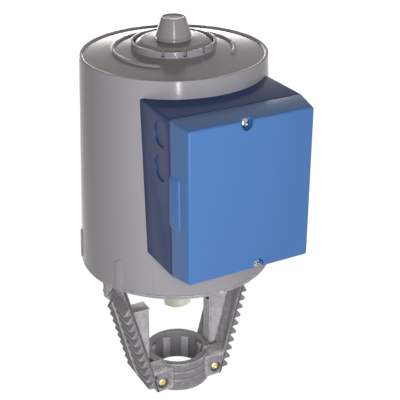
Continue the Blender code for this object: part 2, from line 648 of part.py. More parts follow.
def build_box_base():
    outline = rounded_rectangle(BOX_HALF_X, BOX_Z, 2.0)
    base = side_prism("terminal_box_base", outline, JOINT_Y, BOX_BACK_Y)
    inner_x = BOX_HALF_X - BASE_WALL
    cavity = box("box_cavity", (-inner_x, inner_x), (JOINT_Y - 10, -60),
                 (BOX_Z[0] + BASE_WALL, BOX_Z[1] - BASE_WALL))
    cut(cavity, hood_cone("cavity_back", GAP + 3))
    cut(base, cavity)
    posts = [(x, z, 3.0, -BOARD_Y - GAP, 1.6) for x in (-POST_X, POST_X)
             for z in (BOARD_Z[0] + 4, BOARD_Z[1] - 4)]
    posts += [(x, z, 5.0, -JOINT_Y - GAP, 1.9) for x, z, _ in COVER_SCREWS.values()]
    posts.append((*EARTH_AT, 5.0, 92.0, 1.9))
    for x, z, radius, end, hole in posts:
        start = math.sqrt((hood_radius(z) - 2) ** 2 - x ** 2)
        floor = end - 14
        join(base, turned("post", [
            (0, floor), (hole, floor), (hole, end), (radius, end), (radius, start), (0, start)],
            ROUND_SMALL, (x, 0, z), (90, 0, 0)))
    cut(base, hood_cone("hood_seat", GAP))
    for z in BOX_SCREW_Z:
        cut(base, rod("box_screw_hole", BOX_SCREW_HOLE_R, 70, 96, ROUND_SMALL, (0, 0, z), (90, 0, 0)))
    cut(base, rod("box_cable_hole", CABLE_HOLE_R, 70, 96, ROUND, (0, 0, GROMMET_Z), (90, 0, 0)))
    for side in (1, -1):
        for z in KNOCKOUT_Z:
            cut(base, rod("knockout", KNOCKOUT_R, BOX_HALF_X - KNOCKOUT_DEPTH, BOX_HALF_X + 2,
                          ROUND, (0, KNOCKOUT_Y, z), (0, side * 90, 0)))
    paint(PLASTIC_NAVY, base)


def build_box_cover():
    back_y = JOINT_Y - 0.8      # the shell's rim slants back by almost half of this
    cover = box("terminal_box_cover", (-BOX_HALF_X, BOX_HALF_X), (COVER_FRONT_Y, back_y), BOX_Z)
    work = bmesh.new()
    work.from_mesh(cover.data)
    half_z = (BOX_Z[1] - BOX_Z[0]) / 2
    front = [v for v in work.verts if v.co.y < 0]
    inset = ((BOX_HALF_X - COVER_SIDE_INSET) / BOX_HALF_X, 1, (half_z - COVER_END_INSET) / half_z)
    bmesh.ops.scale(work, vec=inset, verts=front)
    back = [f for f in work.faces if f.normal.y > 0.9]
    bmesh.ops.delete(work, geom=back, context="FACES")
    work.to_mesh(cover.data)
    work.free()
    bevel = cover.modifiers.new("corners", "BEVEL")
    bevel.width = 2 * MM
    bevel.segments = 2
    shell = cover.modifiers.new("shell", "SOLIDIFY")
    shell.thickness = COVER_WALL * MM
    shell.offset = -1
    shell.use_even_offset = True
    for side in (1, -1):
        join(cover, prism("grip_pad", [(side * x, y) for x, y in GRIP_PAD], *GRIP_Z))
    seat = -COVER_FRONT_Y - HEAD_POCKET_DEPTH
    half = HEAD_POCKET_R
    for name, (x, z, side) in COVER_SCREWS.items():
        column_z = sorted((z + side * 1.0, z - side * 6.5))
        join(cover, box("column", (x - 6.5, x + 6.5), (COVER_FRONT_Y + 1.5, JOINT_Y - GAP), column_z))
        pocket = [(x + dx, z + side * dz) for dx, dz in arc(half, 180, 360, 13) + [(half, 9), (-half, 9)]]
        cut(cover, side_prism("head_pocket", pocket, -140, -seat))
        cut(cover, rod("cover_screw_hole", 2.0, 90, 140, ROUND_SMALL, (x, 0, z), (90, 0, 0)))
        screw_piece(name, 3.7, 2.6, 1.6, 29, BRIGHT_ZINC, (x, -seat - GAP, z), (90, 0, 0))
    paint(PLASTIC_BLUE, cover)


def build_box_contents():
    outer_x, wide = BOX_HALF_X - 3.0, 1.2
    y = (JOINT_Y - 1.8, JOINT_Y - GAP)
    z = (BOX_Z[0] + 3.0, BOX_Z[1] - 3.0)
    gasket = box("cover_gasket", (-outer_x, outer_x), y, z)
    cut(gasket, box("gasket_hole", (wide - outer_x, outer_x - wide), (y[0] - 3, y[1] + 3),
                    (z[0] + wide, z[1] - wide)))
    board = box("circuit_board", (-BOARD_X, BOARD_X), (BOARD_Y - 1.6, BOARD_Y), BOARD_Z)
    front = BOARD_Y - 1.6 - GAP
    block = box("terminal_block", (-42, 6), (front - 12, front), (208, 224))
    for i in range(6):
        x = -38 + i * 8
        cut(block, rod("clamp_hole", 2.4, 100, 120, ROUND_SMALL, (x, 0, 216), (90, 0, 0)))
    relay = box("control_relay", (-34, -6), (front - 14, front), (252, 270))
    grommet_y = hood_radius(GROMMET_Z)
    grommet = turned("cable_grommet", [
        (11, grommet_y + 6), (11, grommet_y + 4.2), (8, grommet_y + 4.2), (8, grommet_y - 5),
        (4, grommet_y - 5), (4, grommet_y + 6)], ROUND, (0, 0, GROMMET_Z), (90, 0, 0))
    for name, z_at in zip(("box_screw_lower", "box_screw_upper"), BOX_SCREW_Z):
        seat = hood_radius(z_at) + 3 + 2 * GAP + 0.3
        screw_piece(name, 4.0, 2.2, 2.0, 9, BRIGHT_ZINC, (0, -seat, z_at), (90, 0, 0))
    x, z_at = EARTH_AT
    screw_piece("earth_screw", 3.6, 2.4, 1.6, 8, BRASS, (x, -92 - GAP, z_at), (90, 0, 0))
    paint(RUBBER, gasket, grommet)
    paint(BOARD_GREEN, board)
    paint(BLACK_PLASTIC, block, relay)


clear_scene()
PARTS = new_collection("valve_actuator")
CUTTERS = new_collection("cutters")
PLASTIC_GREY = material("hood_grey", (0.34, 0.335, 0.35, 1), 0.25)
KNOB_GREY = material("knob_grey", (0.30, 0.29, 0.32, 1), 0.35)
CAST_GREY = material("cast_grey", (0.27, 0.255, 0.275, 1), 0.45, 0.1)
PLASTIC_BLUE = material("cover_blue", (0.07, 0.19, 0.47, 1), 0.35)
PLASTIC_NAVY = material("base_navy", (0.04, 0.10, 0.26, 1), 0.4)
BLACK_PLASTIC = material("black_plastic", (0.02, 0.02, 0.022, 1), 0.5)
RED_PLASTIC = material("pointer_red", (0.6, 0.05, 0.04, 1), 0.4)
RUBBER = material("black_rubber", (0.015, 0.015, 0.015, 1), 0.8)
BOARD_GREEN = material("board_green", (0.02, 0.16, 0.06, 1), 0.5)
STEEL = material("machined_steel", (0.56, 0.57, 0.58, 1), 0.3, 1.0)
SPRING_STEEL = material("spring_steel", (0.22, 0.22, 0.24, 1), 0.35, 1.0)
ALUMINIUM = material("aluminium", (0.70, 0.70, 0.72, 1), 0.4, 1.0)
BRASS = material("brass", (0.75, 0.58, 0.26, 1), 0.3, 1.0)
YELLOW_ZINC = material("yellow_zinc", (0.78, 0.66, 0.28, 1), 0.3, 1.0)
BRIGHT_ZINC = material("bright_zinc", (0.75, 0.77, 0.80, 1), 0.25, 1.0)
PALE_ZINC = material("pale_zinc", (0.60, 0.68, 0.62, 1), 0.35, 1.0)

build_hood()
build_base_plate()
build_yoke()
build_clamp()
build_stem()
build_hydraulics()
build_spring()
build_adjuster()
build_box_base()
build_box_cover()
build_box_contents()
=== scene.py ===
# %% [markdown]
# # A motorized valve actuator, piece by piece
# An electrohydraulic actuator sits on a control valve and pushes its stem. A smooth moulded
# hood hides the pump and the spring, a blue box holds the terminals, and a finned cast yoke
# carries both on the valve's neck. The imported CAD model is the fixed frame: it says where
# everything is and how it moves. This lesson builds the surfaces and finishes that are seen.

# %% Load the frame
import json
import math

import bmesh
import bpy
import numpy as np
from mathutils import Matrix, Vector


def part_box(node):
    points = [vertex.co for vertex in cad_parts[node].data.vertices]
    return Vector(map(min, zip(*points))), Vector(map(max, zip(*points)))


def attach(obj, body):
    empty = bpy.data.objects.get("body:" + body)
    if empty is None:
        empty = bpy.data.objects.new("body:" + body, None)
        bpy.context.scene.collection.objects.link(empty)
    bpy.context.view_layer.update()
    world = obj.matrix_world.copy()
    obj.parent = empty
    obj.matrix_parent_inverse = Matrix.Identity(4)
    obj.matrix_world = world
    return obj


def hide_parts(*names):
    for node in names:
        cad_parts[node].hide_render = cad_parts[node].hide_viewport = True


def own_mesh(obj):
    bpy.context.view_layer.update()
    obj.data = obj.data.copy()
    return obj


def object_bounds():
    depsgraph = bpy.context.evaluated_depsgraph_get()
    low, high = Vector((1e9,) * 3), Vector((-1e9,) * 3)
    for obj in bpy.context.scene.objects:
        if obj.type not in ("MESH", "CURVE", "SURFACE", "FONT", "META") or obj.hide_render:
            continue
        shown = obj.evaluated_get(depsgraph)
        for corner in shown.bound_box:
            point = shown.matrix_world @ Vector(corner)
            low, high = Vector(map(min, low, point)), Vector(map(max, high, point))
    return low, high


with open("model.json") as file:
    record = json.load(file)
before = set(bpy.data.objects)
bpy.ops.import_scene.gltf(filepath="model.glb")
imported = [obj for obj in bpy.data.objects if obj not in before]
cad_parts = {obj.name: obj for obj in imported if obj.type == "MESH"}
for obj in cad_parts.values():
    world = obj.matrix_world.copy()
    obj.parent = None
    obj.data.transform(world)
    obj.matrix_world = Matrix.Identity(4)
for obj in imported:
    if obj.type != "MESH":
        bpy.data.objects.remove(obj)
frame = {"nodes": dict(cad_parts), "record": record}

cad_box = [list(corner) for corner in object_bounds()]
MM = 0.001

# %% [markdown]
# ## The camera
# The camera looks down on the actuator from its front left. It could be aimed with a
# constraint, but a matrix built from three unit vectors says exactly how it is turned, so
# that is used: back points from the object to the camera, right and up span the picture.

# %% Set the camera
CAMERA_AT = (-0.3579, -0.7084, 0.5769)
CAMERA_AZIMUTH, CAMERA_PITCH, CAMERA_ROLL = math.radians(-26.80), math.radians(25.62), -0.0122

back = np.array([math.sin(CAMERA_AZIMUTH) * math.cos(CAMERA_PITCH),
                 -math.cos(CAMERA_AZIMUTH) * math.cos(CAMERA_PITCH), math.sin(CAMERA_PITCH)])
level = np.array([math.cos(CAMERA_AZIMUTH), math.sin(CAMERA_AZIMUTH), 0.0])
plumb = np.cross(back, level)
right = math.cos(CAMERA_ROLL) * level + math.sin(CAMERA_ROLL) * plumb
up = math.cos(CAMERA_ROLL) * plumb - math.sin(CAMERA_ROLL) * level

camera = bpy.data.objects.new("camera", bpy.data.cameras.new("camera"))
bpy.context.scene.collection.objects.link(camera)
turned_by = np.eye(4)
turned_by[:3, 0], turned_by[:3, 1], turned_by[:3, 2], turned_by[:3, 3] = right, up, back, CAMERA_AT
camera.matrix_world = Matrix(turned_by)
camera.data.lens = 88.6
camera.data.shift_x, camera.data.shift_y = 0.062, -0.023
bpy.context.scene.camera = camera
print("camera", [round(value, 3) for value in CAMERA_AT])

# %% [markdown]
# ## Shells: surfaces as grids of numbers
# Every new piece is made of closed shells. A shell is an array of points in millimetres and
# a list of faces. The points come from a formula with two parameters, one along an outline
# and one along the path it is carried on, so whole arrays are worked out at once.

# %% Grid faces, rounded corners and the mesh maker
def skin(rows, ring=False, loop=True, caps=True):
    """Faces over a grid: rows[i, j] is point j of section i. With ring the last section
    joins the first; with loop each section closes on itself; caps fill the end sections."""
    count, width = rows.shape[:2]
    i = np.arange(count if ring else count - 1)[:, None]
    j = np.arange(width if loop else width - 1)[None, :]
    following, beside = (i + 1) % count * width, (j + 1) % width
    corners = [i * width + j, i * width + beside, following + beside, following + j]
    faces = np.stack(np.broadcast_arrays(*corners), -1).reshape(-1, 4).tolist()
    if caps:
        faces += [list(range(width)), list(range((count - 1) * width, count * width))]
    return rows.reshape(-1, 3), faces


def rounded(corners, radius, steps=5, closed=True):
    """Corner P between A and B becomes (1-t)^2 P0 + 2t(1-t) P + t^2 P1 for t from 0 to 1.
    P0 and P1 lie on PA and PB, a radius away or at 45% of a shorter side."""
    p = np.asarray(corners, float)
    size = np.broadcast_to(np.asarray(radius, float), len(p))[:, None]

    def towards(q):
        gap = np.maximum(np.linalg.norm(q - p, axis=1, keepdims=True), 1e-9)
        return p + (q - p) / gap * np.minimum(size, 0.45 * gap)

    t = np.linspace(0, 1, steps)[None, :, None]
    start, end = towards(np.roll(p, 1, 0))[:, None], towards(np.roll(p, -1, 0))[:, None]
    curve = (1 - t) ** 2 * start + 2 * t * (1 - t) * p[:, None] + t ** 2 * end
    points = curve.reshape(-1, p.shape[1])
    if not closed:
        points = np.concatenate([p[:1], points[steps:-steps], p[-1:]])
    gap = np.linalg.norm(points - np.roll(points, 1, 0), axis=1)
    return points[gap > 1e-4]


def welded(name, shells):
    """One mesh from shells: seams and poles are merged and faces turned outward."""
    starts = np.cumsum([0] + [len(points) for points, _ in shells])
    faces = [[v + int(first) for v in face] for first, (_, own) in zip(starts, shells) for face in own]
    mesh = bpy.data.meshes.new(name)
    mesh.from_pydata(np.concatenate([points for points, _ in shells]) * MM, [], faces)
    work = bmesh.new()
    work.from_mesh(mesh)
    bmesh.ops.remove_doubles(work, verts=work.verts, dist=1e-7)
    bmesh.ops.recalc_face_normals(work, faces=work.faces)
    work.to_mesh(mesh)
    work.free()
    return mesh


def piece(name, shells, finish, body, slot, *nodes, sharp=35):
    """A finished piece: it rides on a body and stands for CAD nodes. The slot is not used."""
    mesh = welded(name, shells)
    mesh.shade_smooth()
    mesh.set_sharp_from_angle(angle=math.radians(sharp))
    mesh.materials.append(finish)
    item = bpy.data.objects.new(name, mesh)
    bpy.context.scene.collection.objects.link(item)
    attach(item, body)
    if nodes:
        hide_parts(*nodes)
    print(name, len(mesh.polygons), "faces")
    return item

# %% [markdown]
# ## Turning, carrying and cutting
# Three ways of making shells serve the whole object. A turned shell is a profile carried
# round an axis, as on a lathe. A slab is an outline carried along a straight path whose two
# rims are rounded, as a casting's or a moulding's are. Cutting takes one shell out of
# another with Blender's exact boolean, where a drill or a core pin would have been.

# %% Lathe, slab and carve
def lathe(profile, sides=96, start=0.0, end=360.0):
    """Point (a, s) = (r(s) cos a, r(s) sin a, z(s)). The profile may also change with a."""
    full = end - start >= 360
    angle = np.radians(np.linspace(start, end, sides, endpoint=not full))[:, None]
    profile = np.broadcast_to(profile, (sides,) + np.shape(profile)[-2:])
    radius, height = profile[..., 0], profile[..., 1]
    rows = np.stack([radius * np.cos(angle), radius * np.sin(angle), height], -1)
    return skin(rows, ring=full, loop=bool(radius[0, 0] > 0), caps=not full)


def outward(outline):
    """Mitred outward direction at each point of a closed outline, so that outline - d * it
    is the same outline drawn in by d."""
    step = np.roll(outline, -1, 0) - outline
    normal = np.stack([step[:, 1], -step[:, 0]], 1) / np.linalg.norm(step, axis=1, keepdims=True)
    x, y = outline.T
    normal *= np.sign(np.sum(x * np.roll(y, -1) - np.roll(x, -1) * y))
    before = np.roll(normal, 1, 0)
    return (normal + before) / np.maximum(1 + np.sum(normal * before, 1, keepdims=True), 0.3)


def slab(outline, low, high, edge=0.8, along="z", steps=4):
    """Section at depth e(1 - cos f) is the outline drawn in by e(1 - sin f), f from 0 to 90
    degrees at both ends: a quarter circle of radius e rounds each rim."""
    outline = np.asarray(outline, float)
    f = np.linspace(0, np.pi / 2, steps)
    inset, depth = edge * (1 - np.sin(f)), edge * (1 - np.cos(f))
    inset = np.concatenate([inset, inset[::-1]])[:, None, None]
    at = np.concatenate([low + depth, high - depth[::-1]])
    flat = outline - inset * outward(outline)
    rows = np.insert(flat, {"x": 0, "y": 1, "z": 2}[along], np.broadcast_to(at[:, None], flat.shape[:2]), 2)
    return skin(rows)


FACING = {
    "up": np.eye(3),
    "down": np.diag([1.0, -1.0, -1.0]),
    "front": np.array([[1.0, 0, 0], [0, 0, -1], [0, 1, 0]]),
    "right": np.array([[0, 0, 1.0], [0, 1, 0], [-1, 0, 0]]),
    "left": np.array([[0, 0, -1.0], [0, 1, 0], [1, 0, 0]]),
}


def placed(shell, at=(0, 0, 0), facing="up", turn=0.0):
    """Turns a shell about its own Z in degrees, points its Z another way and moves it."""
    a = math.radians(turn)
    spin = np.array([[math.cos(a), -math.sin(a), 0], [math.sin(a), math.cos(a), 0], [0, 0, 1]])
    return shell[0] @ (FACING[facing] @ spin).T + np.asarray(at, float), shell[1]


def mirrored(shell):
    """The shell seen in the plane x = 0. welded() turns its faces outward again."""
    return shell[0] * (-1, 1, 1), shell[1]


def carve(shell, *tools):
    """The shell with every tool cut out of it."""
    blank = bpy.data.objects.new("blank", welded("blank", [shell]))
    cutters = [bpy.data.objects.new("cutter", welded("cutter", [tool])) for tool in tools]
    for item in [blank, *cutters]:
        bpy.context.scene.collection.objects.link(item)
    for cutter in cutters:
        mod = blank.modifiers.new("cut", "BOOLEAN")
        mod.operation, mod.solver, mod.object = "DIFFERENCE", "EXACT", cutter
    bpy.context.view_layer.update()
    mesh = bpy.data.meshes.new_from_object(blank.evaluated_get(bpy.context.evaluated_depsgraph_get()))
    points = np.empty(len(mesh.vertices) * 3)
    mesh.vertices.foreach_get("co", points)
    faces = [list(polygon.vertices) for polygon in mesh.polygons]
    for item in [blank, *cutters]:
        bpy.data.objects.remove(item)
    bpy.data.meshes.remove(mesh)
    return points.reshape(-1, 3) / MM, faces


def bar(x, y, z, edge=0.4):
    """A rounded block between pairs of coordinates."""
    outline = [(x[0], y[0]), (x[1], y[0]), (x[1], y[1]), (x[0], y[1])]
    return slab(rounded(outline, edge * 1.5), z[0], z[1], edge)


def block(x, y, z):
    """A sharp block, for cutting."""
    return slab([(x[0], y[0]), (x[1], y[0]), (x[1], y[1]), (x[0], y[1])], z[0], z[1], 0, steps=1)


def pin(radius, low, high, sides=48):
    """A plain cylinder, for cutting."""
    return lathe([(0, high), (radius, high), (radius, low), (0, low)], sides)


print("helpers: lathe, slab, placed, mirrored, carve, bar, block, pin")

# %% [markdown]
# ## Finishes
# A finish is a small tree of nodes round one Principled shader. Each finish has its own
# marks: a moulding has faint flow shades and a fine grain, a painted casting an orange-peel
# skin with pale edges, partly wear and partly painted highlight, and hollows darkened as
# painted shade, plated steel a cloudy colour. All the patterns read Object coordinates, in
# metres, so that they stay put on a piece that moves.

# %% Node helpers
def add(tree, kind, settings=None, **inputs):
    """Adds a node. A socket given as an input is linked, and a value is set."""
    node = tree.nodes.new("ShaderNode" + kind)
    for name, value in (settings or {}).items():
        setattr(node, name, value)
    for name, value in inputs.items():
        socket = node.inputs[int(name[1:])] if name[0] == "i" and name[1:].isdigit() else node.inputs[name]
        if isinstance(value, bpy.types.NodeSocket):
            tree.links.new(value, socket)
        else:
            socket.default_value = value
    return node


def start_finish(name, colour, roughness, metallic=0.0, coat=0.0):
    """A material with its plain numbers set on the shader's own sockets."""
    mat = bpy.data.materials.new(name)
    mat.use_nodes = True
    tree = mat.node_tree
    shader = tree.nodes["Principled BSDF"]
    shader.inputs["Base Color"].default_value = (*colour, 1)
    shader.inputs["Roughness"].default_value = roughness
    shader.inputs["Metallic"].default_value = metallic
    shader.inputs["Coat Weight"].default_value = coat
    where = tree.nodes.new("ShaderNodeTexCoord").outputs["Object"]
    return mat, tree, shader, where


def noise(tree, where, scale, detail=3.0, stretch=None):
    """Cloudy noise. Scale is in features per metre; stretch squeezes it along an axis."""
    if stretch:
        where = add(tree, "Mapping", Vector=where, Scale=stretch).outputs["Vector"]
    return add(tree, "TexNoise", Vector=where, Scale=scale, Detail=detail).outputs["Fac"]


def spread(tree, fac, low, high, start=0.15, end=0.85):
    """Maps the middle of a noise onto a range of values."""
    return add(tree, "MapRange", i0=fac, i1=start, i2=end, i3=low, i4=high).outputs["Result"]


def mixed(tree, fac, first, second):
    """Mixes two colours or colour sockets."""
    first, second = [(*c, 1) if isinstance(c, tuple) else c for c in (first, second)]
    return add(tree, "Mix", {"data_type": "RGBA"}, i0=fac, i6=first, i7=second).outputs[2]


def bumped(tree, shader, height, depth, strength=1.0, before=None):
    """Raises the surface by height times depth metres and returns the normal."""
    bump = add(tree, "Bump", Height=height, Distance=depth, Strength=strength)
    if before is not None:
        tree.links.new(before, bump.inputs["Normal"])
    tree.links.new(bump.outputs["Normal"], shader.inputs["Normal"])
    return bump.outputs["Normal"]

# %% [markdown]
# Moulded plastic: two close shades drift over tens of millimetres, where the melt flowed.
# A grain of a third of a millimetre breaks the highlight up, and handling leaves the
# gloss a little uneven. The hood is glossy, the knob satin, and the box finely textured.

# %% Plastics
def moulded(name, colour, roughness, grain=3000.0, grain_depth=0.00002, drift=0.06, coat=0.0):
    mat, tree, shader, where = start_finish(name, colour, roughness, coat=coat)
    shader.inputs["Specular IOR Level"].default_value = 0.18
    darker = tuple(c * (1 - drift) for c in colour)
    lighter = tuple(c * (1 + drift) for c in colour)
    flow = noise(tree, where, 14, 2, (1, 1, 0.35))
    tree.links.new(mixed(tree, spread(tree, flow, 0, 1), darker, lighter), shader.inputs["Base Color"])
    rubbed = noise(tree, where, 45, 5)
    gloss = spread(tree, rubbed, roughness * 0.9, roughness * 1.1)
    tree.links.new(gloss, shader.inputs["Roughness"])
    bumped(tree, shader, noise(tree, where, grain, 2), grain_depth, 1.0)
    return mat


HOOD_GREY = moulded("hood_plastic", (0.262, 0.252, 0.276), 0.15, 2200, 0.000002, 0.03)
KNOB_GREY = moulded("knob_plastic", (0.245, 0.232, 0.230), 0.16, 2600, 0.000003, 0.04)
COVER_BLUE = moulded("cover_plastic", (0.052, 0.134, 0.325), 0.30, 2600, 0.00001, 0.03)
BASE_NAVY = moulded("box_plastic", (0.012, 0.030, 0.120), 0.24, 2600, 0.00001, 0.03)
BLACK_PLASTIC = moulded("black_plastic", (0.020, 0.020, 0.022), 0.45, 2600, 0.00003, 0.15)
POINTER_RED = moulded("pointer_plastic", (0.600, 0.050, 0.040), 0.38, 2600, 0.00002, 0.05)
RUBBER = moulded("black_rubber", (0.018, 0.018, 0.018), 0.75, 1500, 0.00006, 0.2)
print("plastics made")

# %% [markdown]
# Painted casting: the paint follows the sand-like skin of the metal under it, so the bump
# has two sizes. Convex edges are knocked and rubbed, and Pointiness finds them: there the
# paint is paler, partly wear and partly a painted highlight. Hollows are painted darker, as
# painted shade.

# %% Cast paint
def cast_paint(name, colour, edge_wear_and_highlight, roughness):
    mat, tree, shader, where = start_finish(name, colour, roughness)
    shader.inputs["Specular IOR Level"].default_value = 0.25
    patches = spread(tree, noise(tree, where, 30, 4), 0, 1)
    dull = tuple(c * 0.90 for c in colour)
    base = mixed(tree, patches, dull, colour)
    point = tree.nodes.new("ShaderNodeNewGeometry").outputs["Pointiness"]
    # Pale edge mask from Pointiness: partly wear, partly a painted highlight.
    rough_edge = add(tree, "Math", {"operation": "MULTIPLY"}, i0=noise(tree, where, 220, 4), i1=0.05)
    wobble = add(tree, "Math", {"operation": "ADD"}, i0=point, i1=rough_edge.outputs[0])
    wear_and_highlight = spread(tree, wobble.outputs[0], 0, 0.9, 0.540, 0.585)
    # Darker hollows from low Pointiness: painted shade in creases and recesses.
    painted_shade = spread(tree, point, 0.75, 0, 0.43, 0.497)
    base = mixed(tree, painted_shade, base, tuple(c * 0.45 for c in colour))
    tree.links.new(mixed(tree, wear_and_highlight, base, edge_wear_and_highlight), shader.inputs["Base Color"])
    gloss = spread(tree, noise(tree, where, 120, 4), roughness * 0.8, roughness * 1.25)
    tree.links.new(gloss, shader.inputs["Roughness"])
    skin_bump = bumped(tree, shader, noise(tree, where, 420, 3), 0.00022, 0.5)
    bumped(tree, shader, noise(tree, where, 1800, 2), 0.00005, 0.6, skin_bump)
    return mat


# The second colour is the pale edge: partly wear, partly a painted highlight.
CAST_GREY = cast_paint("cast_paint", (0.205, 0.196, 0.213), (0.56, 0.55, 0.56), 0.30)
print("cast paint made")

# %% [markdown]
# Metals: plating is cloudy in colour and turning leaves fine rings. Yellow zinc drifts
# from straw to a greenish and a pinkish tint. The rings and brushed parts come from noise
# that is stretched sixty times along one axis.

# %% Metals
def plated(name, colour, tint, roughness, cloud=160.0, metallic=1.0):
    mat, tree, shader, where = start_finish(name, colour, roughness, metallic)
    clouds = spread(tree, noise(tree, where, cloud, 4), 0, 1, 0.3, 0.7)
    tree.links.new(mixed(tree, clouds, colour, tint), shader.inputs["Base Color"])
    gloss = spread(tree, noise(tree, where, 300, 4), roughness * 0.7, roughness * 1.3)
    tree.links.new(gloss, shader.inputs["Roughness"])
    bumped(tree, shader, noise(tree, where, 1400, 3), 0.00002, 0.5)
    return mat


def machined(name, colour, roughness, stretch=(1, 1, 60), scale=40.0):
    mat, tree, shader, where = start_finish(name, colour, roughness, 1.0)
    lines = noise(tree, where, scale, 5, stretch)
    darker = tuple(c * 0.86 for c in colour)
    tree.links.new(mixed(tree, spread(tree, lines, 0, 1), darker, colour), shader.inputs["Base Color"])
    tree.links.new(spread(tree, lines, roughness * 0.75, roughness * 1.3), shader.inputs["Roughness"])
    bumped(tree, shader, lines, 0.00002, 0.5)
    return mat


YELLOW_ZINC = plated("yellow_zinc", (0.92, 0.70, 0.24), (0.86, 0.76, 0.40), 0.30, metallic=0.8)
BRIGHT_ZINC = plated("bright_zinc", (0.42, 0.46, 0.50), (0.30, 0.34, 0.40), 0.20)
PALE_ZINC = plated("pale_zinc", (0.52, 0.64, 0.53), (0.56, 0.58, 0.44), 0.30, metallic=0.4)
BRASS = machined("turned_brass", (0.78, 0.60, 0.27), 0.26)
STEEL = machined("turned_steel", (0.58, 0.59, 0.60), 0.28)
SPRING_STEEL = machined("oiled_spring", (0.20, 0.20, 0.215), 0.34, (1, 1, 1), 300.0)
ALUMINIUM = machined("milled_aluminium", (0.72, 0.72, 0.74), 0.36, (1, 60, 1))
print("metals made")

# %% [markdown]
# The circuit board's green lacquer shows its copper tracks as slightly paler, raised
# lines. A brick pattern gives straight runs of track at right angles, which is how boards
# are laid out; a noise would look like camouflage.

# %% Circuit board lacquer
def lacquered_board():
    mat, tree, shader, where = start_finish("board_lacquer", (0.02, 0.16, 0.06), 0.35)
    flat = add(tree, "Mapping", Vector=where, Rotation=(math.radians(90), 0, 0)).outputs["Vector"]
    tracks = add(tree, "TexBrick", Vector=flat, Scale=160.0, i5=0.06)
    line = tracks.outputs["Fac"]
    tree.links.new(mixed(tree, line, (0.02, 0.15, 0.06), (0.05, 0.26, 0.10)), shader.inputs["Base Color"])
    bumped(tree, shader, line, 0.00004)
    return mat


BOARD_GREEN = lacquered_board()
FINISHES = {
    "hood_grey": HOOD_GREY, "knob_grey": KNOB_GREY, "cast_grey": CAST_GREY,
    "cover_blue": COVER_BLUE, "base_navy": BASE_NAVY, "black_plastic": BLACK_PLASTIC,
    "pointer_red": POINTER_RED, "black_rubber": RUBBER, "board_green": BOARD_GREEN,
    "machined_steel": STEEL, "spring_steel": SPRING_STEEL, "aluminium": ALUMINIUM,
    "brass": BRASS, "yellow_zinc": YELLOW_ZINC, "bright_zinc": BRIGHT_ZINC,
    "pale_zinc": PALE_ZINC,
}
print(len(FINISHES), "finishes")

# %% [markdown]
# ## The parts inside
# The pump, spring, cylinder and circuit board keep their CAD shapes, which are right, and
# take the finish that the record names for them. The CAD meshes themselves aren't touched.

# %% Dress the CAD nodes
for part in frame["record"]["subparts"]:
    node = frame["nodes"][part["node"]]
    while len(node.data.materials) < 1:
        node.data.materials.append(None)
    for slot in node.material_slots:
        slot.material = FINISHES[part["material_slot"]]
print("dressed", len(frame["nodes"]), "CAD nodes")

# %% [markdown]
# ## The hood
# One tall moulding that tapers upward, with a recessed deck, a low lip round it and a
# collar with snap tabs. It could be a stack of cylinders; a single turned profile keeps the
# wall, the lip and the deck as one skin, and every corner of the profile gets its radius.

# %% Hood
RIM_Z, HOOD_TOP = 136.0, 326.8
DECK = HOOD_TOP - 1.5
COLLAR_TOP = HOOD_TOP + 9.5


def hood_radius(z):
    """Outside radius of the tapered hood at a height."""
    return 86.2 - 7.2 * (np.asarray(z, float) - RIM_Z) / (HOOD_TOP - RIM_Z)


def deck_height(radius):
    """The deck rises 0.14 mm per millimetre towards the collar."""
    return DECK + 0.14 * (76 - radius)


def hood_shell():
    bottom, under = RIM_Z + 3.3, DECK - 4
    outer = hood_radius([HOOD_TOP, bottom])
    corners = [
        (outer[0], HOOD_TOP), (outer[1], bottom), (outer[1] - 3, bottom),
        (hood_radius(under) - 3, under), (39, deck_height(39) - 4), (34, under), (12.5, under),
        (12.5, DECK), (34.5, DECK), (34.5, deck_height(34.5)), (76.0, DECK), (76.4, HOOD_TOP)]
    return lathe(rounded(corners, [0.9, 0.5, 0.4, 2.0, 0.5, 0.5, 0.3, 0.3, 0.1, 0.1, 0.5, 0.7]), 192)


def arc_outline(inner, outer, start, end, count=48):
    """A ring sector between two radii and two angles in degrees."""
    angle = np.radians(np.linspace(start, end, count))[:, None]
    edge = np.hstack([np.cos(angle), np.sin(angle)])
    return np.concatenate([outer * edge, inner * edge[::-1]])


def hood_pad(angle, width, low, high, proud=1.1):
    """A flat-sided rest moulded on the hood: over (u, z) its radius is the hood's plus
    proud, and its top comes to a shallow point."""
    half = np.degrees(width / 2 / 86)
    peak = high + width * 0.45
    outline = rounded([(-half, low), (half, low), (half, high), (0, peak), (-half, high)], 0.45)
    centre = outline.mean(0)
    scale = np.array([1.0, 1.0, 0.97, 0.90])[:, None]
    lift = np.array([-1.0, proud - 0.4, proud - 0.1, proud])[:, None]
    theta = np.radians(angle + centre[0] + (outline[:, 0] - centre[0]) * scale)
    z = centre[1] + (outline[:, 1] - centre[1]) * scale
    radius = hood_radius(z) + lift
    return skin(np.stack([radius * np.cos(theta), radius * np.sin(theta), z], -1))


TAB_SLOTS = (-131.0, -102.0, -73.0, 30.0, 62.0)
SLOT_HALF = 2.6
COLLAR_LOW = COLLAR_TOP - 4.6
hood_shells = [hood_shell(),
               slab(arc_outline(49.5, 52.5, -45, 231, 140), DECK, deck_height(50) + 1.7, 0.7),
               lathe(rounded([(36, COLLAR_LOW), (36, DECK - 1), (33.5, DECK - 1),
                              (33.5, COLLAR_LOW)], 0.4), 144)]
for start, end in zip(TAB_SLOTS, TAB_SLOTS[1:] + (TAB_SLOTS[0] + 360,)):
    sector = arc_outline(33.5, 36, start + SLOT_HALF, end - SLOT_HALF, max(9, int((end - start) / 3)))
    hood_shells.append(slab(sector, DECK - 0.5, COLLAR_TOP, 0.45))
for tab in (-116.5, -87.5, 46.0):
    hook = rounded([(34.2, COLLAR_TOP - 0.4), (32.9, COLLAR_TOP - 1.2), (32.9, COLLAR_TOP - 2.0),
                    (34.2, COLLAR_TOP - 3)], 0.3)
    hood_shells.append(lathe(hook, 12, tab - 6.5, tab + 6.5))
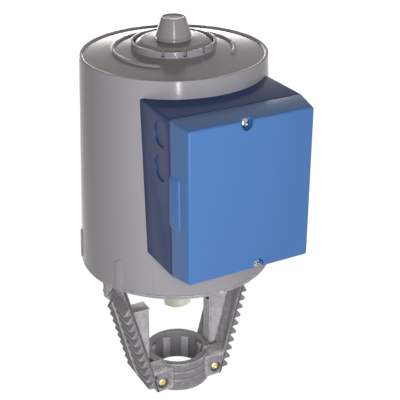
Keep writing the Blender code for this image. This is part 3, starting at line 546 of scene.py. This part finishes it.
for angle in (-151.5, 162.0, 18.0, -28.5):
    hood_shells.append(hood_pad(angle, 7.5, RIM_Z + 3.5, RIM_Z + 27))
for angle in (-129.8, -50.2):
    hood_shells.append(hood_pad(angle, 0.9, RIM_Z + 3.5, RIM_Z + 31, 0.35))
piece("hood_moulding", hood_shells, HOOD_GREY, "housing", "hood_grey", "hood")

# %% [markdown]
# ## The base plate
# The hood stands on a cast plate, and only the plate's thin edge and its underside show.
# Seen from below it has a machined ring round the stem and shallow concentric steps.

# %% Base plate
plate = rounded([
    (82.4, 147.0), (82.4, 144.5), (80.9, 144.5), (80.9, 141.5), (82.4, 141.5), (82.4, 139.0),
    (86.0, 139.0), (86.0, RIM_Z), (78.0, RIM_Z), (77.2, RIM_Z + 0.8), (30.0, RIM_Z + 0.8),
    (29.0, RIM_Z), (18.0, RIM_Z), (17.0, RIM_Z + 0.8), (11.3, RIM_Z + 0.8), (11.3, 147.0)], 0.4, 4)
base_plate = carve(lathe(plate, 192), *[
    placed(pin(2.8, RIM_Z - 1, RIM_Z + 9, 24), (x, y, 0))
    for x, y in ((60.5, -18), (-60.5, 18), (48, 17), (-48, -17))])
piece("base_casting", [base_plate], CAST_GREY, "housing", "cast_grey", "base_plate")

# %% [markdown]
# ## Adjuster cap and knob
# The knob on top winds the actuator by hand. Both are turned shapes with soft corners; the
# knob has a dished top, and a row of fine grips round the cap gives the fingers a hold.

# %% Cap and knob
CAP_TOP = HOOD_TOP + 10.5
cap = rounded([
    (14.0, CAP_TOP + 2), (14.0, CAP_TOP + 0.1), (27.4, CAP_TOP - 0.1), (32.4, CAP_TOP - 2.7),
    (32.4, 331.5), (30.4, 331.5), (30.4, CAP_TOP - 3.5), (26.4, CAP_TOP - 2), (10.0, CAP_TOP - 2),
    (10.0, 328.0), (6.3, 328.0), (6.3, CAP_TOP + 2)],
    [0.5, 0.8, 0.8, 0.7, 0.3, 0.3, 0.3, 0.3, 0.3, 0.3, 0.3, 0.3])
sides = 240
grip = 0.35 * np.clip(np.cos(np.linspace(0, 60 * 2 * np.pi, sides, endpoint=False)), 0, 1)
ribbed = np.broadcast_to(cap, (sides,) + cap.shape).copy()
side_wall = (cap[:, 0] > 32.3) & (cap[:, 1] < CAP_TOP - 3.2)
ribbed[:, side_wall, 0] -= grip[:, None]
piece("cap_moulding", [lathe(ribbed, sides)], KNOB_GREY, "adjuster", "knob_grey", "adjuster_cap")
KNOB_LOW = CAP_TOP + 2.3
knob = rounded([
    (0, 355.0), (8.0, 355.0), (8.8, 355.8), (10.2, 355.8), (14.9, KNOB_LOW + 1.4),
    (15.0, KNOB_LOW), (6.3, KNOB_LOW), (6.3, 346.0), (0, 346.0)],
    [0, 0.5, 0.4, 0.9, 0.9, 0.3, 0.3, 0.3, 0], 6, closed=False)
piece("knob_moulding", [lathe(knob, 144)], KNOB_GREY, "adjuster", "knob_grey", "adjuster_knob")

# %% [markdown]
# ## Threads and screws
# A thread is a cylinder whose radius rises and falls with z/pitch - a/360, where a is the
# angle round the axis. The screw heads are turned and their recess is cut, because light
# catches the recess's sharp walls and no bump map would show that from the side.

# %% Thread and screw makers
def thread(radius, pitch, low, high, depth=None, sides=28):
    """r(a, z) = radius - depth |2 frac(z / pitch - a / 360) - 1|, closed at both ends."""
    depth = 0.6 * pitch if depth is None else depth
    z = np.linspace(high, low, int((high - low) / pitch * 6) + 2)
    turn = np.arange(sides)[:, None] / sides
    wave = np.abs(2 * np.mod(z / pitch - turn, 1) - 1)
    fade = np.clip((np.minimum(z - low, high - z)) / pitch, 0, 1)
    radius = radius - depth * wave * fade - 0.35 * (1 - fade)
    rows = np.stack([radius, np.broadcast_to(z, radius.shape)], -1)
    ends = np.zeros((sides, 1, 2))
    top, bottom = ends + (0, high), ends + (0, low)
    return lathe(np.concatenate([top, rows, bottom], 1), sides)


def screw(head_r, head_h, shank_r, length, at, facing, recess="cross", turn=20.0, pitch=0.8):
    """Head on z from 0 to its height, thread below it, turned to face a direction."""
    crown = rounded([(0, head_h), (head_r * 0.62, head_h * 0.97), (head_r * 0.97, head_h * 0.55),
                     (head_r, 0), (shank_r * 0.95, 0), (shank_r * 0.95, -0.8), (0, -0.8)],
                    [0, 1.2, 0.8, 0.15, 0, 0, 0], 6, closed=False)
    head = lathe(crown, 48)
    wide = head_r * (0.62 if recess == "cross" else 1.3)
    cuts = [block((-wide, wide), (-0.5, 0.5), (head_h * 0.35, head_h + 1))]
    if recess == "cross":
        cuts.append(block((-0.52, 0.52), (-wide - 0.01, wide + 0.01), (head_h * 0.352, head_h + 1.1)))
    head = carve(head, *cuts)
    shank = thread(shank_r, pitch, -length, -0.5)
    return [placed(shell, at, facing, turn) for shell in (head, shank)]

# %% [markdown]
# ## The terminal box
# The box is two mouldings that meet on a flat joint. The darker base is a deep frame whose
# back follows the hood's cone. Its wall is carried round the box as one closed loop, so the
# outside, the rim and the inside are a single skin with a softened rim.

# %% Terminal box base
BOX_X, BOX_LOW, BOX_HIGH = 57.8, 178.3, 312.2
JOINT_Y, BOX_WALL = -105.8, 4.0


def window(half_x, low, high, radius=2.4, steps=7):
    """Rounded rectangle in x and z."""
    return rounded([(half_x, low), (half_x, high), (-half_x, high), (-half_x, low)], radius, steps)


def hood_front(x, z, offset):
    """y of the hood's front at (x, z), standing off by an offset."""
    return -np.sqrt((hood_radius(z) + offset) ** 2 - x ** 2)


def box_wall():
    outline = window(BOX_X, BOX_LOW, BOX_HIGH)
    away = outward(outline)
    inset = np.array([0, 0, 0.18, 0.6, BOX_WALL - 0.4, BOX_WALL, BOX_WALL])
    front = np.array([np.nan, JOINT_Y + 0.6, JOINT_Y + 0.18, JOINT_Y, JOINT_Y, JOINT_Y + 0.4, np.nan])
    flat = outline[:, None] - inset[:, None] * away[:, None]
    x, z = flat[..., 0], flat[..., 1]
    y = np.where(np.isnan(front), hood_front(x, z, 0.3), front)
    return skin(np.stack([x, y, z], -1), ring=True, caps=False)


def box_floor():
    """Sections over z; each runs along the hood and back again 3 mm further out."""
    x = np.linspace(-BOX_X + 1, BOX_X - 1, 60)
    z = np.linspace(BOX_LOW + 1, BOX_HIGH - 1, 24)[:, None]
    near, far = hood_front(x, z, 0.3), hood_front(x, z, 3.3)
    y = np.concatenate([near, far[:, ::-1]], 1)
    across = np.broadcast_to(np.concatenate([x, x[::-1]]), y.shape)
    return skin(np.stack([across, y, np.broadcast_to(z, y.shape)], -1))


def post(x, z, radius, end, hole):
    start = float(-hood_front(x, z, -1.0))
    profile = rounded([(0, end - 12), (hole, end - 12), (hole, end), (radius, end), (radius, start),
                       (0, start)], [0, 0.2, 0.3, 0.4, 0, 0], 3, closed=False)
    return placed(lathe(profile, 28), (x, 0, z), "front")


KNOCKOUT = rounded([(0, 3), (10.9, 3), (10.9, 0.1), (10.3, -0.4), (10.2, -1.2), (0, -1.2)],
                   [0, 0.1, 0.2, 0.5, 0.4, 0], 4, closed=False)
knockouts = [placed(lathe(KNOCKOUT, 72), (side * BOX_X, -90.0, z), facing)
             for side, facing in ((1, "right"), (-1, "left")) for z in (266.5, 295.0)]
box_shells = [carve(box_wall(), *knockouts), box_floor()]
box_shells += [post(x, z, 3.0, 96.7, 1.6) for x in (-44, 44) for z in (202, 296)]
box_shells += [post(-5.0, 306.0, 5.0, 105.5, 1.9), post(8.4, 184.4, 5.0, 105.5, 1.9),
               post(40.0, 189.0, 5.0, 92.0, 1.9)]
piece("box_base", box_shells, BASE_NAVY, "housing", "base_navy", "terminal_box_base")

# %% [markdown]
# The cover is a cup with drafted sides: each section is a rounded rectangle a little
# smaller than the last, and the final millimetre and a half turns over a quarter circle
# into the front panel. Two U-shaped pockets sink the screws, and a raised pad on each side
# gives the fingers a grip when the cover is lifted off.

# %% Terminal box cover
COVER_BACK, COVER_FRONT = -106.6, -129.5
SIDE_DRAFT, END_DRAFT = 3.6, 3.0


def cover_section(depth, inset):
    """Outline at a share of the cover's depth, drawn in by an inset."""
    half, low, high = BOX_X - SIDE_DRAFT * depth, BOX_LOW + END_DRAFT * depth, BOX_HIGH - END_DRAFT * depth
    flat = window(half - inset, low + inset, high - inset, 2.4 - min(inset, 1.4))
    y = np.full((len(flat), 1), COVER_BACK + (COVER_FRONT - COVER_BACK) * depth)
    return np.concatenate([flat[:, :1], y, flat[:, 1:]], 1)


def cover_cup():
    bend, span = 1.6, COVER_BACK - COVER_FRONT
    f = np.linspace(0, np.pi / 2, 7)
    sections = [cover_section(1 - 2.5 / span, 2.5), cover_section(0, 2.5), cover_section(0, 0.5),
                cover_section(0.15 / span, 0.15), cover_section(0.5 / span, 0)]
    sections += [cover_section(1 - bend * (1 - s) / span, bend * (1 - c))
                 for s, c in zip(np.sin(f), np.cos(f))]
    return skin(np.stack(sections))


SCREW_SPOTS = {"top": (-5.0, 306.0, 1), "bottom": (8.4, 184.4, -1)}
COVER_SEAT = -124.5


def pocket(x, z, side):
    """U-shaped sinking for a screw head, open towards the near edge of the cover."""
    angle = np.radians(np.linspace(180, 360, 25))
    outline = [(x + 4.7 * np.cos(a), z + side * 4.7 * np.sin(a)) for a in angle]
    outline += [(x + 5.0, z + side * 9), (x - 5.0, z + side * 9)]
    return slab(outline, -140, COVER_SEAT, 0, "y", 1)


def grip_pad(side):
    """Raised pad on a drafted side: its base outline (y, z), then the same drawn in and
    lifted, with long ramps at its top and bottom."""
    low, high, near = 223.0, 268.0, COVER_BACK - 12.0
    outline = rounded([(COVER_BACK, low), (near, low), (near, high), (COVER_BACK, high)],
                      [0.3, 1.6, 1.6, 0.3])
    middle = np.array([COVER_BACK, (low + high) / 2])
    rows = []
    for lift, share in ((-1.5, (1, 1)), (0.0, (1, 1)), (0.5, (0.97, 0.95)), (1.1, (0.91, 0.87)),
                        (1.25, (0.87, 0.84))):
        y, z = (middle + (outline - middle) * share).T
        x = BOX_X - SIDE_DRAFT * (COVER_BACK - y) / (COVER_BACK - COVER_FRONT) + lift
        rows.append(np.column_stack([side * x, y, z]))
    return skin(np.stack(rows))


pockets = [pocket(*spot) for spot in SCREW_SPOTS.values()]
cover_shells = [carve(cover_cup(), *pockets), grip_pad(1), grip_pad(-1)]
for x, z, side in SCREW_SPOTS.values():
    column = bar((x - 6.5, x + 6.5), (COVER_FRONT + 1.5, JOINT_Y - 0.6), sorted((z + side, z - side * 6.5)))
    cover_shells.append(carve(column, pocket(x, z, side)))
piece("box_cover", cover_shells, COVER_BLUE, "housing", "cover_blue", "terminal_box_cover")
for place, (x, z, side) in SCREW_SPOTS.items():
    shells = screw(3.7, 2.6, 1.6, 29, (x, COVER_SEAT - 0.1, z), "front", turn=34.0 if side > 0 else 8.0)
    piece("cover_screw_" + place + "_detail", shells, BRIGHT_ZINC, "housing", "bright_zinc",
          "cover_screw_" + place)

# %% [markdown]
# ## The finned yoke
# Two leaning legs carry the hood above the valve. Their fins keep the heat of the pipe
# away from the pump. A leg is a saw-tooth outline carried across from front to back: the
# teeth grow from a rounded corner at each end, so the reach of a tooth is a function of y.

# %% Yoke legs
LEG_FOOT, LEG_SLOPE, LEG_Y = 33.6, 0.2563, 26.0
FLANGE_Z, FIN_REACH = 131.0, 7.0


def leg_x(z):
    """Outer face of the right leg."""
    return LEG_FOOT + LEG_SLOPE * np.asarray(z, float)


def leg_shell():
    """Point (y, s): x = leg face(z) + reach(s) share(y), drawn in by the rim's radius."""
    corners = [(-3.0, FLANGE_Z + 1), (-3.0, 3.5), (0.0, 3.5)]
    sizes = [0.2, 1.0, 1.0]
    for z in 9.5 + 8.7 * np.arange(11):
        corners += [(0.0, z), (FIN_REACH, z), (FIN_REACH, z + 1.1), (0.0, z + 7.7)]
        sizes += [0.7, 0.45, 0.6, 0.9]
    corners.append((0.0, FLANGE_Z + 1))
    sizes.append(0.2)
    reach, z = np.array(corners).T
    outline = rounded(np.column_stack([leg_x(z) + reach, z]), sizes, 4)
    reach = outline[:, 0] - leg_x(outline[:, 1])
    away = outward(outline)
    turn = np.linspace(0, np.pi / 2, 9)
    corner_r, rim = 3.4, 0.75
    half = np.concatenate([[0.0], np.linspace(6, LEG_Y - corner_r, 3),
                           LEG_Y - corner_r + corner_r * np.sin(turn[1:])])
    y = np.concatenate([-half[:0:-1], half])[:, None]
    past = np.clip(np.abs(y) - (LEG_Y - corner_r), 0, corner_r)
    share = 1 - (corner_r - np.sqrt(corner_r ** 2 - past ** 2)) / FIN_REACH
    edge = np.clip(np.abs(y) - (LEG_Y - rim), 0, rim)
    inset = rim - np.sqrt(rim ** 2 - edge ** 2)
    x = outline[:, 0] - np.maximum(reach, 0) * (1 - share) - inset * away[:, 0]
    z = outline[:, 1] - inset * away[:, 1]
    return skin(np.stack([x, np.broadcast_to(y, x.shape), z], -1))


def spine_shell():
    """The upright strip down the middle of the fins, flush with their tips."""
    top = 9.5 + 87 + 3
    outline = [(float(leg_x(z)) + reach, z) for z, reach in ((9.0, -1), (9.0, 7.4), (top, 7.4), (top, -1))]
    return slab(rounded(outline, 0.9), -1.8, 1.8, 0.7, "y")


def web_shell(top):
    """The stiffening web on a leg's inner side; its inner edge stands upright."""
    outline = [(32.0, 25.0), (float(leg_x(25)) - 1, 25.0), (float(leg_x(top)) - 1, top), (32.0, top)]
    return slab(rounded(outline, [0.5, 0, 0, 0.9]), -6.5, 6.5, 0.9, "y")


boss = lathe(rounded([(5.5, 95.3), (5.5, 132), (2.8, 132), (2.8, 95.3)], 0.4), 40)
room = pin(7.5, 87, FLANGE_Z - 0.5, 40)
plain_leg, flange = leg_shell(), slab(rounded([(40, -26.5), (74, -26.5), (74, 26.5), (40, 26.5)], 3.0, 7),
                                      FLANGE_Z, 135.7, 0.8)
flange_holes = [placed(pin(2.8, 120, 140, 24), (60.5, -18, 0)), placed(pin(2.8, 120, 140, 24), (48, 17, 0))]
flange = carve(flange, *flange_holes)
right_leg = [carve(plain_leg, placed(room, (61.5, -18, 0))), placed(boss, (60.5, -18, 0)),
             spine_shell(), web_shell(132.0), flange]
left_leg = [carve(plain_leg, placed(room, (61.5, -18, 0))), placed(boss, (60.5, -18, 0)),
            spine_shell(), web_shell(85.0), bar((31.2, float(leg_x(86)) - 1), (-7.4, 7.4), (84.4, 86.0), 0.5),
            flange]
yoke_shells = right_leg + [(points * (-1, -1, 1), faces) for points, faces in left_leg]
print("legs:", sum(len(faces) for _, faces in yoke_shells), "faces")

# %% [markdown]
# ## Neck ring and clamp
# The legs meet in a split ring that grips the valve's neck. The rear half belongs to the
# yoke and the front half is a bracket that two screws pull tight. Both halves come from one
# grooved ring profile, cut along the split. Claws inside the bore bite into the neck.

# %% Neck ring, blocks and claws
NECK_R, BORE_R, NECK_TOP = 31.0, 25.0, 30.0
SPLIT_Y, BOW_X, EAR_TOP = -13.7, 23.0, 26.7


def neck_ring():
    corners, sizes = [(BORE_R, NECK_TOP), (NECK_R, NECK_TOP)], [0.6, 1.2]
    for z in (22.0, 13.4):
        corners += [(NECK_R, z + 1.9), (NECK_R - 2.0, z + 0.5), (NECK_R - 2.0, z - 0.5), (NECK_R, z - 1.9)]
        sizes += [1.6, 0.4, 0.4, 1.6]
    corners += [(NECK_R, 0), (BORE_R, 0)]
    sizes += [1.2, 0.6]
    return lathe(rounded(corners, sizes, 5), 144)


def claw(angle):
    outline = rounded([(22.5, -3.5), (27, -3.5), (27, 3.5), (22.5, 3.5)], 0.9)
    return placed(slab(outline, 2.0, 26.0, 0.8), turn=angle)


bore = pin(BORE_R, -5, 40, 144)
top = NECK_TOP - 0.4
cheeks = [(-float(leg_x(3.9)) + 1, 3.9), (float(leg_x(3.9)) - 1, 3.9), (float(leg_x(top)) - 1, top),
          (-float(leg_x(top)) + 1, top)]
cheek_block = slab(rounded(cheeks, 1.8), SPLIT_Y, 25.7, 1.1, "y")
threads = [placed(pin(2.8, 0, 20, 24), (x, 0, 12.4), "front") for x in (28.2, -28.2)]
shoulder = [(BOW_X + 0.3, EAR_TOP + 0.3), (float(leg_x(27)) - 1, EAR_TOP + 0.3),
            (float(leg_x(top)) - 1, top), (BOW_X + 0.3, top)]
shoulder = slab(rounded(shoulder, 0.5), -25.7, SPLIT_Y + 2, 0.3, "y")
yoke_shells += [carve(cheek_block, bore, *threads), shoulder, mirrored(shoulder),
                carve(neck_ring(), block((-40, 40), (-42, SPLIT_Y), (-8, 42)))]
yoke_shells += [claw(angle) for angle in (0, 45, 90, 135, 180)]
piece("yoke_casting", yoke_shells, CAST_GREY, "housing", "cast_grey", "yoke")

# %% [markdown]
# The bracket's ears are slabs with soft corners. Each has a counterbore for its screw and a
# small blind pocket above it, which saves metal where the casting would be thick.

# %% Clamp bracket
front = SPLIT_Y - 0.3
bow = carve(neck_ring(), block((-45, 45), (front, 45), (-8, 42)),
            block((BOW_X, 46), (-44, 46), (-9, 43)), block((-46, -BOW_X), (-44, 46), (-9, 43)))
ear = [(17, 3.5), (float(leg_x(3.5)), 3.5), (float(leg_x(EAR_TOP)), EAR_TOP), (17, EAR_TOP)]
ear_cuts = [bore, placed(pin(5.4, 21.2, 40, 48), (28.2, 0, 12.4), "front"),
            placed(pin(2.8, 0, 39, 24), (28.2, 0, 12.4), "front"),
            placed(pin(2.6, 21, 41, 32), (36.5, 0, 20.7), "front")]
right_ear = carve(slab(rounded(ear, 1.9), -26.0, front, 1.1, "y"), *ear_cuts)
clamp_shells = [bow, right_ear, mirrored(right_ear)] + [claw(angle) for angle in (225, 270, 315)]
piece("clamp_casting", clamp_shells, CAST_GREY, "neck_clamp", "cast_grey", "clamp_bracket")
for side, name in ((1, "clamp_screw_right"), (-1, "clamp_screw_left")):
    shells = screw(4.4, 3.5, 2.5, 15, (side * 28.2, -21.5, 12.4), "front", turn=25.0 * side, pitch=1.0)
    piece(name + "_detail", shells, YELLOW_ZINC, "neck_clamp", "yellow_zinc", name)
for name, x, y, z in (("yoke_screw_right_front", 60.5, -18, 95), ("yoke_screw_left_rear", -60.5, 18, 95),
                      ("yoke_screw_right_rear", 48, 17, 131), ("yoke_screw_left_front", -48, -17, 131)):
    shells = screw(4.5, 3.5, 2.5, 144 - z, (x, y, z), "down", turn=x, pitch=1.0)
    piece(name + "_detail", shells, YELLOW_ZINC, "housing", "yellow_zinc", name)

# %% [markdown]
# ## Scale, pointer and coupling
# The stem ends in a hexagon coupling nut that screws onto the valve's own stem. The red
# pointer above it runs along a black scale with plain tick marks. A hexagon's chamfer is
# where a cone meets its flats: for each angle the flat's distance gives the chamfer's start,
# so the curved edges of the chamfer come out exactly.

# %% Nuts, stem, pointer and scale
def hex_nut(flats, low, high, bore_r, turn=12.0, socket=None):
    """Flat distance d(a) = flats / 2 / cos(a from the flat's middle); the chamfer starts
    (d - tip) tan 30 below the end face."""
    sides = 120
    angle = np.degrees(2 * np.pi * np.arange(sides) / sides)
    flat = flats / 2 / np.cos(np.radians(np.mod(angle, 60) - 30))
    tip = flats / 2 - 0.5
    drop = (flat - tip) * math.tan(math.radians(30))
    full, own = np.ones(sides), flat
    inner = socket or (bore_r, high)
    columns = [(bore_r * full, high * full), (tip * full, high * full), (own, high - drop),
               (own, low + drop), (tip * full, low * full), (inner[0] * full, low * full)]
    if socket:
        columns += [(inner[0] * full, inner[1] * full), (bore_r * full, inner[1] * full)]
    profile = np.stack([np.stack(column, -1) for column in columns], 1)
    return placed(lathe(profile, sides), turn=turn)


piece("coupling_nut_detail", [hex_nut(24.0, 81.0, 99.0, 5.3, socket=(7.5, 94.0))], PALE_ZINC,
      "stroke_assembly", "pale_zinc", "coupling_nut", sharp=25)
piece("lock_nut_detail", [hex_nut(20.0, 99.3, 105.0, 5.3)], PALE_ZINC,
      "stroke_assembly", "pale_zinc", "lock_nut", sharp=25)
stem_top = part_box("stem")[1].z / MM
stem_rod = lathe(rounded([(0, stem_top), (7, stem_top), (7, 112), (4.6, 110.8), (0, 110.8)],
                         [0, 0.5, 0.4, 0.2, 0], 5, closed=False), 96)
piece("stem_detail", [stem_rod, thread(5.0, 1.5, 95.0, 111.5, 0.7, 48)], STEEL,
      "stroke_assembly", "machined_steel", "stem")
bush = rounded([(11, 150), (11, 135.7), (14, 135.7), (14, 130.7), (10.3, 130.7), (10.3, 133.7),
                (7.3, 133.7), (7.3, 150)], [0.3, 0.2, 0.5, 0.8, 0.4, 0.2, 0.2, 0.3], 4)
piece("stem_bush_detail", [lathe(bush, 96)], BRASS, "housing", "brass", "stem_bush")
pointer_ring = lathe(rounded([(9, 108), (9, 105.3), (5.3, 105.3), (5.3, 108)], 0.5, 4), 72)
finger = slab(rounded([(8, -1.2), (27.6, -1.2), (30.2, -0.25), (30.2, 0.25), (27.6, 1.2), (8, 1.2)], 0.3, 4),
              105.3, 108, 0.4)
piece("pointer_detail", [pointer_ring, finger], POINTER_RED, "stroke_assembly", "pointer_red",
      "travel_pointer")
strip = rounded([(-5.5, 76), (5.5, 76), (5.5, 118), (-5.5, 118)], 1.0)
piece("scale_strip", [slab(strip, 30.7, 31.7, 0.2, "x")],
      BLACK_PLASTIC, "housing", "black_plastic", "scale_plate")

# %% [markdown]
# The scale's ticks are the only markings on the object. They are raised bars in a pale
# plastic, long at both ends of the travel and short between, with the stroke's 20 mm
# divided into ten.

# %% Scale ticks
PALE_MARK = moulded("pale_mark", (0.70, 0.70, 0.68), 0.5, 2600, 0.00001, 0.03)
ticks = []
for i in range(11):
    reach = 3.6 if i % 10 == 0 else 2.6 if i == 5 else 1.6
    z = 86.65 + 2.0 * i
    ticks.append(bar((30.55, 30.9), (-4.6, -4.6 + reach), (z - 0.25, z + 0.25), 0.08))
piece("scale_ticks", ticks, PALE_MARK, "housing", "black_plastic")

# %% [markdown]
# ## Return spring
# The spring round the cylinder lifts the valve when the power fails; the cylinder's seat
# presses it shorter as the stem goes down. It is one tube along a helix with even turns
# between its ends. Its end turns are closed, so that they lie flat on their seats.

# %% Return spring
SPRING_FOOT, SPRING_HEAD, SPRING_R, WIRE_R, TURNS, CLOSED = 147.3, 251.7, 38.0, 3.0, 7, 6.6


def spring_tube():
    """Centre (38 cos 360t, 38 sin 360t, z(t)) after t turns, with a circle of the wire's
    radius across it. z rises by 6.6 t^2 over each end turn and evenly between them."""
    low, high = SPRING_FOOT + WIRE_R, SPRING_HEAD - WIRE_R
    t = np.linspace(0, TURNS, TURNS * 60 + 1)[:, None]
    middle = low + CLOSED + (high - low - 2 * CLOSED) * (t - 1) / (TURNS - 2)
    z = np.where(t < 1, low + CLOSED * t ** 2, middle)
    z = np.where(t > TURNS - 1, high - CLOSED * (TURNS - t) ** 2, z)
    around = np.linspace(0, 2 * np.pi, 20, endpoint=False)[None, :]
    radius, turn = SPRING_R + WIRE_R * np.cos(around), 2 * np.pi * t
    return skin(np.stack([radius * np.cos(turn), radius * np.sin(turn), z + WIRE_R * np.sin(around)], -1))


spring_coil = piece("spring_coil", [spring_tube()], SPRING_STEEL, "housing", "spring_steel", "return_spring")
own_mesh(spring_coil)

# %% [markdown]
# ## Floor and light
# A plain white floor under the neck ring and a soft studio: a broad lamp from the front
# left, a tall narrow one that draws the upright highlight on the hood, a cool fill from
# the right, one behind and a dim world. Camera, glossy and transmission rays see the
# floor and the world as plain white. Part of the floor is lit, so it keeps the shadow.

# %% Stage
def background_ray(tree):
    """1 for the rays that show the plain background: camera, glossy and transmission."""
    path = tree.nodes.new("ShaderNodeLightPath").outputs
    seen = path["Is Camera Ray"]
    for ray in ("Is Glossy Ray", "Is Transmission Ray"):
        seen = add(tree, "Math", {"operation": "MAXIMUM"}, i0=seen, i1=path[ray]).outputs[0]
    return seen


def stage_floor():
    mesh = bpy.data.meshes.new("floor")
    reach = 6.0
    low = cad_box[0][2] - 0.0004
    mesh.from_pydata([(-reach, -reach, low), (reach, -reach, low), (reach, reach, low), (-reach, reach, low)],
                     [], [(0, 1, 2, 3)])
    floor = bpy.data.objects.new("floor", mesh)
    bpy.context.scene.collection.objects.link(floor)
    mat, tree, shader, _ = start_finish("floor_white", (0.34, 0.34, 0.33), 0.9)
    lit = add(tree, "BsdfDiffuse", Color=(0.30, 0.30, 0.30, 1))
    glow = add(tree, "Emission", Color=(1, 1, 1, 1), Strength=0.95)
    both = add(tree, "AddShader", i0=lit.outputs[0], i1=glow.outputs[0])
    floor_mix = add(tree, "MixShader", i0=background_ray(tree), i1=shader.outputs[0], i2=both.outputs[0])
    tree.links.new(floor_mix.outputs[0], tree.nodes["Material Output"].inputs["Surface"])
    mesh.materials.append(mat)


def lamp(name, at, aim, size, power, colour=(1, 1, 1)):
    """An area lamp that faces a point."""
    light = bpy.data.lights.new(name, "AREA")
    light.shape, light.size, light.size_y = "RECTANGLE", size[0], size[1]
    light.energy, light.color = power, colour
    item = bpy.data.objects.new(name, light)
    z = np.array(at, float) - aim
    z /= np.linalg.norm(z)
    x = np.cross((0, 0, 1), z)
    x /= np.linalg.norm(x)
    turn = np.eye(4)
    turn[:3, 0], turn[:3, 1], turn[:3, 2], turn[:3, 3] = x, np.cross(z, x), z, at
    item.matrix_world = Matrix(turn)
    item.visible_camera = False
    bpy.context.scene.collection.objects.link(item)


stage_floor()
AIM = (0.0, -0.02, 0.2)
lamp("key", (-0.72, -1.95, 0.72), AIM, (0.8, 0.8), 9.5)
lamp("flash", (-0.255, -0.63, 0.34), (0, 0, 0.34), (0.028, 0.62), 4.6)
lamp("fill", (1.9, -0.9, 0.9), AIM, (0.8, 1.4), 4, (0.82, 0.90, 1.0))
lamp("back", (0.5, 2.0, 0.4), AIM, (1.6, 0.8), 22, (1.0, 0.96, 0.90))

world = bpy.data.worlds.new("studio")
bpy.context.scene.world = world
world.use_nodes = True
sky = world.node_tree
direction = sky.nodes.new("ShaderNodeTexCoord").outputs["Generated"]
split = add(sky, "SeparateXYZ", Vector=direction)
behind = add(sky, "MapRange", i0=split.outputs["Y"], i1=-0.5, i2=0.5, i3=0.0, i4=1.0).outputs["Result"]
above = add(sky, "MapRange", i0=split.outputs["Z"], i1=0.2, i2=0.9, i3=0.0, i4=1.0).outputs["Result"]
left = add(sky, "MapRange", i0=split.outputs["X"], i1=-0.95, i2=-0.35, i3=1.0, i4=0.0).outputs["Result"]
tone = mixed(sky, behind, (0.28, 0.29, 0.31), (0.20, 0.18, 0.15))
tone = mixed(sky, left, tone, (0.10, 0.09, 0.09))
tone = mixed(sky, above, tone, (0.10, 0.065, 0.025))
backdrop = add(sky, "Background", Color=tone, Strength=1.0)
plain = add(sky, "Background", Color=(1, 1, 1, 1), Strength=1.0)
mix = add(sky, "MixShader", i0=background_ray(sky), i1=backdrop.outputs[0], i2=plain.outputs[0])
sky.links.new(mix.outputs[0], sky.nodes["World Output"].inputs["Surface"])
bpy.context.scene.view_settings.view_transform = "Standard"
print("stage set")
